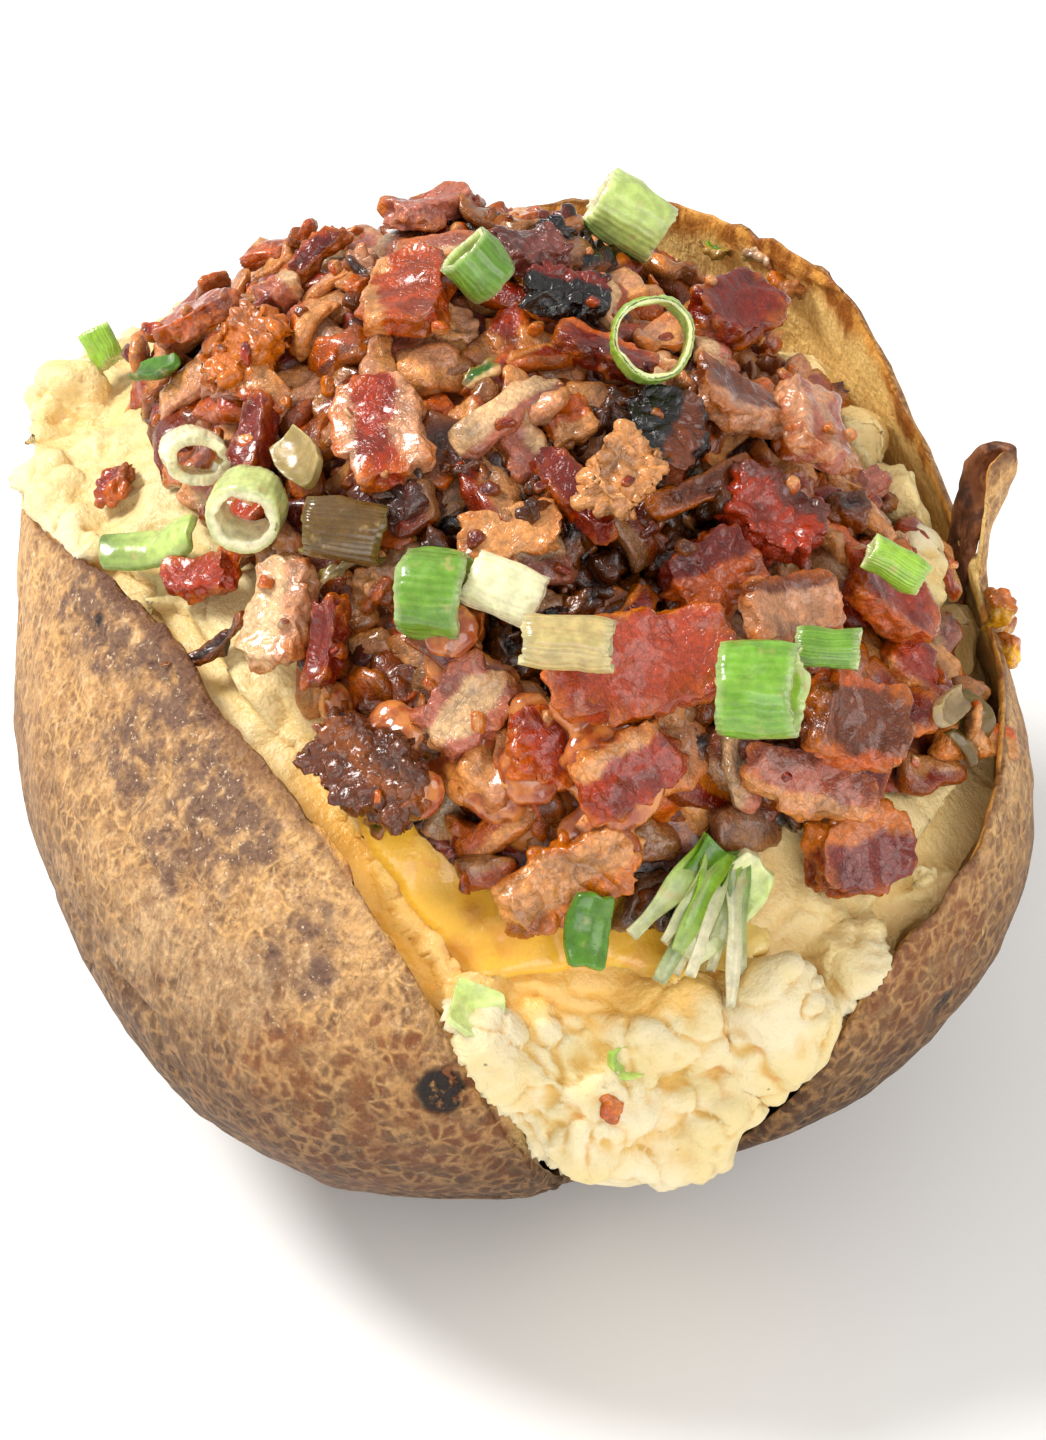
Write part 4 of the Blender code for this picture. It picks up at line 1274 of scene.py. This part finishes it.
def scattered(name, seed, places, normals, halves, mixture, material, slot="bacon_heap", detail=3,
              boxy=0.6, rough=0.5, knobs=0.3, upright=0.7, curl=0.5, shade=1.0):
    """One mesh of many small pieces, each at its place, at its half sizes in metres."""
    rng = np.random.default_rng(seed)
    sphere, faces = ball(detail)
    base = blend(sphere, sphere / np.abs(sphere).max(1)[:, None], boxy)
    local, read = small_shapes(rng, seed, base, halves, rough, knobs, curl)
    colours = small_colours(rng, seed, base, read, mixture, len(places))
    # shade is painted shade over a whole layer, for pieces that lie under others.
    colours = colours * (1 - dark_near(places)[:, None, None] * 0.6) * shade
    parts = []
    for k, place in enumerate(places):
        shape = local[k] @ turned(rng, upright).T @ facing(normals[k]) + place
        parts.append((shape, faces, colours[k]))
    return finished(joined(name, parts), material, slot)


def spread_out(places, normals, gap):
    """Leaves out the places that are nearer than gap to one already kept."""
    kept = []
    for k, place in enumerate(places):
        if not kept or np.linalg.norm(places[kept] - place, axis=1).min() > gap:
            kept.append(k)
    return places[kept], normals[kept]


def clear_of(tree, places, normals, margin):
    """Only the places that are at least this far from what the tree holds."""
    kept = [k for k, p in enumerate(places) if tree.find_nearest(Vector(p))[3] > margin]
    return places[kept], normals[kept]


def lie_on(tree, places, normals, sink):
    """Each place moved onto the surface that the tree holds, sunk in by a share of the piece."""
    settled = places.copy()
    for k, (place, normal) in enumerate(zip(places, normals)):
        ray = Vector(normal)
        hit = tree.ray_cast(Vector(place) + ray * 8 * MM, -ray, 14 * MM)
        if hit[0]:
            settled[k] = np.array(hit[0]) - normal * sink[k]
    return settled


def heap_samples(count, rng):
    """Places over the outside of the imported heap."""
    cheese = tree_of(NODES["melted_cheese"], NODES["flesh"])

    def outside(middles, unit):
        away = middles - np.array((0, 0, 30)) * MM
        away /= np.linalg.norm(away, axis=1)[:, None]
        proud = np.array([cheese.find_nearest(Vector(m))[3] > 2.6 * MM for m in middles])
        return ((away * unit).sum(1) > 0.15) * (0.12 + 0.88 * proud)

    return surface_samples(NODES["bacon_heap"], count, rng, outside)


def random_halves(rng, count, *ranges):
    """Random half sizes in metres, from a range in millimetres for each side."""
    return np.stack([rng.uniform(*each, count) for each in ranges], 1) * MM


def crumb_halves(rng, count, low, high, least, most):
    """Half sizes in metres of crumbs from low to high millimetres, with uneven sides."""
    return rng.uniform(low, high, (count, 1)) * rng.uniform(least, most, (count, 3)) * MM


def make_scatter(meat, toppings, core):
    """The chopped bacon: a lower layer, a dark crumble, an upper layer, strips and crumbs."""
    rng = np.random.default_rng(SCATTER_SEED)
    big, bed = tree_of(*toppings), tree_of(core)
    made = []

    def lay(name, seed, where, halves, on, sink, mixture, lift=0.0, bare=None, **looks):
        """Lays pieces on what a tree holds, sunk by a share of their height, and lifted by metres."""
        places, normals = where
        places = lie_on(on, places, normals, sink * halves[:, 2] - lift)
        if bare:
            kept = [k for k, place in enumerate(places) if bare.find_nearest(Vector(place))[3] > 1.6 * MM]
            places, normals, halves = places[kept], normals[kept], halves[kept]
        made.append(scattered(name, seed, places, normals, halves, mixture, meat, **looks))

    where = spread_out(*heap_samples(900, rng), 3.6 * MM)
    halves = random_halves(rng, len(where[0]), (2.2, 4.0), (1.6, 2.7), (1.0, 1.6))
    # The lower layer is darkened with painted shade, as it lies under the upper pieces.
    lay("bacon_chops_low", 81, where, halves, bed, -0.5, MIXED, upright=0.72, shade=0.62)

    places, normals = heap_samples(2600, rng)
    thick = rng.random(len(places)) < dark_near(places) * 0.9 + 0.008
    where = spread_out(places[thick], normals[thick], 2.2 * MM)
    halves = crumb_halves(rng, len(where[0]), 1.0, 2.2, 0.75, 1.2)
    lay("bacon_crumble", 82, where, halves, bed, -1.0, DARKS, lift=0.4 * MM, boxy=0.15, rough=0.7,
        knobs=0.85, upright=0.2)

    places, normals = clear_of(big, *heap_samples(900, rng), 1.2 * MM)
    light = rng.random(len(places)) > dark_near(places) * 0.8
    where = spread_out(places[light], normals[light], 4.4 * MM)
    halves = random_halves(rng, len(where[0]), (2.6, 5.0), (1.8, 3.1), (0.8, 1.4))
    lay("bacon_chops_top", 83, where, halves, tree_of(core, *made), 0.25, MIXED, detail=4, upright=0.75,
        boxy=0.5, rough=0.7, knobs=0.18, curl=0.7)

    where = spread_out(*clear_of(big, *heap_samples(400, rng), 1.0 * MM), 8.5 * MM)
    halves = random_halves(rng, len(where[0]), (4.2, 6.4), (1.3, 2.2), (0.6, 0.9))
    lay("bacon_strips", 85, where, halves, tree_of(core, *made), -0.2, MIXED, detail=4, upright=0.85,
        boxy=0.7, rough=0.4, knobs=0.12, curl=0.55)

    bed = tree_of(core, *made, *toppings)
    where = spread_out(*heap_samples(300, rng), 3.4 * MM)
    halves = crumb_halves(rng, len(where[0]), 0.4, 0.95, 0.6, 1.4)
    green = tree_of(*[piece for piece in toppings if piece.name.startswith("scallion")])
    lay("bacon_crumbs", 84, where, halves, bed, 0.1, CRUMBS, bare=green, boxy=0.4, rough=0.5, knobs=0.4,
        upright=0.5)
    return rng, bed


# Small pieces that stand apart: place and half sizes in millimetres, which way up, two colours
BITS = (
    ((-25.1, -7.5, 77.5), (4.2, 1.3, 1.0), (0.3, -0.2, 1), LEAN_DEEP, LEAN_RED),
    ((-16.6, -5.9, 80.3), (2.4, 1.9, 1.6), (0.4, -0.3, 1), FAT_TAN, MEAT_DARK),
    ((-15.3, -21.1, 72.6), (3.0, 2.2, 1.2), (0.2, -0.8, 1), FAT_AMBER, FAT_GOLD),
    ((12.0, 2.2, 78.6), (3.0, 2.4, 1.2), (0.5, -0.3, 1), FAT_GOLD, LEAN_ORANGE),
    ((13.1, 34.1, 62.4), (3.4, 2.3, 1.3), (0.3, 0.5, 1), LEAN_PINK, FAT_GOLD),
    ((-20.0, -32.0, 60.9), (2.6, 1.9, 0.8), (0.1, -0.7, 1), LEAN_RED, LEAN_ORANGE),
    ((15.6, -18.8, 69.5), (2.8, 2.0, 1.2), (0.4, -0.6, 1), FAT_GOLD, LEAN_ORANGE),
    ((20.1, 28.0, 65.5), (2.4, 2.0, 1.8), (0.5, 0.4, 1), MEAT_DARK, LEAN_BROWN),
    ((-17.0, 41.7, 65.3), (3.6, 2.0, 1.2), (0.2, 0.6, 1), FAT_AMBER, FAT_PALE),
    ((12.4, -13.8, 74.7), (3.0, 2.4, 1.9), (0.3, -0.5, 1), MEAT_DARK, LEAN_PURPLE),
    ((-13.5, 13.0, 81.0), (1.9, 1.6, 1.5), (0.2, 0.2, 1), MEAT_DARK, CHAR),
    ((-15.5, 16.0, 80.0), (2.2, 1.7, 1.4), (0.0, 0.3, 1), LEAN_DEEP, MEAT_DARK),
    ((41.8, -12.3, 49.4), (1.7, 1.4, 1.3), (1, -0.3, 0.8), MEAT_DARK, MEAT_BROWN),
    ((44.5, -3.5, 48.0), (2.6, 2.2, 1.8), (1, 0, 0.7), MEAT_DARK, LEAN_BROWN),
    ((43.5, 2.0, 49.0), (2.6, 2.0, 1.8), (1, 0, 0.7), MEAT_BROWN, MEAT_DARK),
    ((55.4, -14.3, 35.8), (1.7, 1.1, 0.5), (1, -0.2, 0.6), FAT_AMBER, LEAN_ORANGE),
    ((6.6, -32.2, 59.9), (5.4, 0.8, 0.5), (0.2, -1, 0.9), CHAR, MEAT_DARK),
)

# Cheesy crumbs stuck outside the jacket: bearing in degrees, height and half sizes in millimetres
STUCK_BITS = (
    (62, 50.5, (2.6, 1.9, 1.3)),
    (59, 48.0, (2.1, 1.7, 1.2)),
    (64, 46.8, (1.5, 1.2, 0.9)),
)
LEAFY_BITS = (
    ((30.2, -24.5, 54.9), (2.6, 1.1, 0.35), (0.6, -0.7, 1), GREEN_DEEP, GREEN_PALE),
    ((-26.5, 37.8, 65.4), (3.0, 1.6, 0.6), (0, 0.4, 1), GREEN_DEEP, GREEN),
    ((-21.0, 40.2, 66.4), (2.0, 1.4, 1.0), (0, 0.5, 1), IVORY, GREEN_PALE),
    ((4.6, -3.3, 81.0), (2.2, 1.1, 0.5), (0.5, -0.3, 1), BEIGE, GREEN_DEEP),
    ((11.7, -21.7, 68.3), (3.0, 0.8, 0.5), (0.4, -0.7, 1), BEIGE, OLIVE),
)


def make_apart(meat, greens):
    """The small pieces that stand apart from the heap's mass."""
    for name, table, material, slot in (("bacon_apart", BITS, meat, "bacon_heap"),
                                        ("scallion_apart", LEAFY_BITS, greens, "scallion")):
        for k, (place, half, up, lean, fat) in enumerate(table):
            place, half, up = (np.array([row], float) for row in (place, half, up))
            scattered(f"{name}_{k + 1:02}", 700 + k, place * MM, up / np.linalg.norm(up), half * MM,
                      ((1.0, lean, fat, 0.45),), material, slot, detail=4, upright=0.85, rough=0.6,
                      knobs=0.55, boxy=0.35)


def make_stuck(meat):
    """Crumbs of cheese and fat stuck outside the jacket's right edge."""
    wall = tree_of(NODES["skin"])
    for k, (degrees, height, half) in enumerate(STUCK_BITS):
        away = outward(degrees)
        hit = wall.ray_cast(away * 0.1 + Vector((0, 0, height * MM)), -away, 0.1)
        place = np.array(hit[0]) + np.array(away) * 0.4 * half[2] * MM
        scattered(f"cheese_crumb_{k + 1:02}", 760 + k, place[None], np.array(away)[None],
                  np.array(half)[None] * MM, ((1.0, CHEESE_ORANGE, FAT_AMBER, 0.4),), meat,
                  "melted_cheese", detail=4, boxy=0.2, rough=0.7, upright=0.9)


SHREDS = 11
SHRED_GRID = (26, 5)  # rows along, columns across
SHRED_FOOT = np.array((45.0, 2.5, 52.0))  # in millimetres
SHRED_RISE = np.array((0.75, -0.1, 0.62))


def shred(k, rng):
    """One splayed shred: its corners, faces and colours."""
    rows, columns = SHRED_GRID
    spread = (k - 5) / 5
    heading = np.array((0.35 + 0.08 * rng.normal(), -0.55 - 0.32 * spread, -0.62 + 0.25 * spread))
    heading /= np.linalg.norm(heading)
    length = rng.uniform(9.5, 14.5)
    side = np.cross(heading, SHRED_RISE)
    t = np.linspace(0, 1, rows)
    arch = 1.5 * np.sin(t * 2.4 + rng.uniform(-0.4, 0.4)) + 0.3 * rng.normal() * t
    middle = SHRED_FOOT + np.outer(t * length, heading) + np.outer(arch, SHRED_RISE) + side * spread * 1.4
    half = rng.uniform(0.8, 1.5) * (1 - 0.55 * t) * (1 + 0.2 * np.sin(9 * t + k))
    across = np.linspace(-1, 1, columns)
    wave = 0.22 * noise(np.stack([t * 6 + 5 * k, t * 0, t * 0], 1), 1.0, 12)
    points = middle[:, None] + (half[:, None] * across)[..., None] * side
    points = points + ((0.25 * across**2)[None] + wave[:, None])[..., None] * SHRED_RISE
    both = np.concatenate([points.reshape(-1, 3), (points - 0.22 * SHRED_RISE).reshape(-1, 3)])
    grid = np.arange(rows * columns).reshape(rows, columns)
    top = quads(grid)
    edge = np.concatenate([grid[0], grid[1:, -1], grid[-1, -2::-1], grid[-2:0:-1, 0]])
    after = np.roll(edge, -1)
    wall = np.stack([edge, edge + grid.size, after + grid.size, after], 1)
    pale = np.clip(np.repeat(t, columns) * 0.9 + 0.25 * rng.normal(), 0, 1)[:, None]
    line = 0.75 + 0.25 * np.abs(np.tile(across, rows))[:, None]
    tone = blend(GREEN_BRIGHT if k % 3 else GREEN, IVORY, pale) * line
    return both * MM, np.concatenate([top[:, ::-1], top + grid.size, wall]), np.concatenate([tone, tone])


def make_shreds(material):
    """The splayed, shredded end of scallion that lies over the heap's front edge."""
    rng = np.random.default_rng(SHRED_SEED)
    parts = [shred(k, rng) for k in range(SHREDS)]
    return finished(joined("scallion_shreds", parts), material, "scallion")


# Where the fat has run out of the bacon: middle and reach in millimetres
GLAZED_PLACES = (((26.4, -20.7, 61.8), 9), ((37.5, -11.8, 57.7), 8), ((30, -17, 60), 8))


def make_glaze(rng, bed):
    """Smooth amber fat that fills gaps between the pieces at the heap's front edge."""
    places, normals = heap_samples(2400, rng)
    near = np.zeros(len(places), bool)
    for place, reach in GLAZED_PLACES:
        near |= np.linalg.norm(places - np.array(place) * MM, axis=1) < reach * MM
    places, normals = spread_out(places[near], normals[near], 1.7 * MM)
    sizes = rng.uniform(2.0, 3.2, len(places)) * MM
    settled = lie_on(bed, places, normals, np.full(len(places), 2.5 * MM))
    points, faces = ball(3)
    drops = zip(settled, normals, sizes)
    parts = [((points * (size, size, 1.3 * MM)) @ facing(up) + place, faces) for place, up, size in drops]
    glaze = joined("bacon_glaze", parts)
    remeshed(glaze, GLAZE_CELL)
    softened(glaze, 6)
    pushed(glaze, 0.35 * MM * layered(corners_of(glaze), 3 * MM, 2, 66))
    return finished(glaze, glaze_material(), "bacon_heap")


def glaze_material():
    n = Nodes("amber_fat")
    colour = n.blotched(srgb(158, 70, 30), srgb(210, 130, 60), 3.0, 0.38, 0.6, detail=4)
    colour = n.blotched(colour, srgb(116, 44, 20), 1.8, 0.55, 0.68, 0.7)
    return n.surface(colour, n.patchy(1.0, 0.08, 0.2), n.noise(1.2, 2), 0.1, coat=(0.8, 0.05),
                     scatter=(0.3, 3.0, 1.2, 0.5))


# ---------------------------------------------------------------- studio


FLOOR_HALF = 3.0

# The camera, about the object's middle, in metres
AZIMUTH, ELEVATION = math.radians(65), math.radians(40)
DISTANCE = 0.406
LENS, SENSOR = 100, 36
RIGHT = Vector((math.cos(AZIMUTH), math.sin(AZIMUTH), 0))
LEVEL = Vector((math.sin(AZIMUTH), -math.cos(AZIMUTH), 0))
UP = Vector((0, 0, 1))
BACK = LEVEL * math.cos(ELEVATION) + UP * math.sin(ELEVATION)
TARGET = Vector((0, 0, 0.0344)) + RIGHT * 0.0036 - Vector((0.0002, 0.0006, 0))

# Each light's place, size and power, and its colour
LIT_POINT = Vector((0, 0, 0.04))
LIGHTS = {
    "key": (-RIGHT * 0.42 - LEVEL * 0.12 + UP * 0.55, 0.22, 4.6, (1.0, 0.985, 0.96)),
    "fill": (RIGHT * 0.5 + LEVEL * 0.35 + UP * 0.45, 0.5, 1.7, (1.0, 0.98, 0.96)),
    "front": (LEVEL * 0.7 + UP * 0.3, 0.5, 1.6, (1.0, 0.99, 0.97)),
}
WORLD_STRENGTH = 0.56


def floor_material():
    n = Nodes("studio_floor")
    colour = n.mix(n.noise(60, 3), srgb(246, 245, 243), srgb(250, 249, 247))
    return n.surface(colour, 0.9, specular=0.1)


def make_floor():
    corners = FLOOR_HALF * np.array(((-1, -1, 0), (1, -1, 0), (1, 1, 0), (-1, 1, 0)))
    floor = shape_of("studio_floor", corners, np.arange(4)[None])
    floor.data.materials.append(floor_material())


def aimed(name, data, place, direction):
    obj = new_object(name, data)
    obj.location = place
    obj.rotation_euler = direction.to_track_quat("-Z", "Y").to_euler()
    return obj


def make_studio():
    """A plain pale floor, soft lights from three sides and above, and the camera."""
    make_floor()
    for name, (place, size, power, colour) in LIGHTS.items():
        lamp = bpy.data.lights.new(name, "AREA")
        lamp.shape, lamp.size, lamp.energy, lamp.color = "DISK", size, power, colour
        aimed(name, lamp, place, LIT_POINT - place)
    world = bpy.data.worlds.new("studio")
    world.use_nodes = True
    sky = world.node_tree.nodes["Background"].inputs
    sky["Color"].default_value = (1, 1, 1, 1)
    sky["Strength"].default_value = WORLD_STRENGTH
    lens = bpy.data.cameras.new("camera")
    lens.lens, lens.sensor_width = LENS, SENSOR
    scene = bpy.context.scene
    scene.world = world
    scene.camera = aimed("camera", lens, TARGET + BACK * DISTANCE, -BACK)
    scene.view_settings.view_transform = "Standard"


# ---------------------------------------------------------------- all of it


def main():
    meat = bacon_material()
    greens = scallion_material()
    make_skin()
    make_torn_strip()
    make_cheese(make_flesh())
    core = make_core()
    toppings = [make_bacon_piece(number, look, meat) for number, look in BACON_LOOKS.items()]
    toppings += [make_tube(number, look, greens) for number, look in TUBE_LOOKS.items()]
    toppings += [make_leaf(number, look, greens) for number, look in LEAF_LOOKS.items()]
    rng, bed = make_scatter(meat, toppings, core)
    make_apart(meat, greens)
    make_stuck(meat)
    make_shreds(greens)
    make_glaze(rng, bed)
    make_studio()


main()
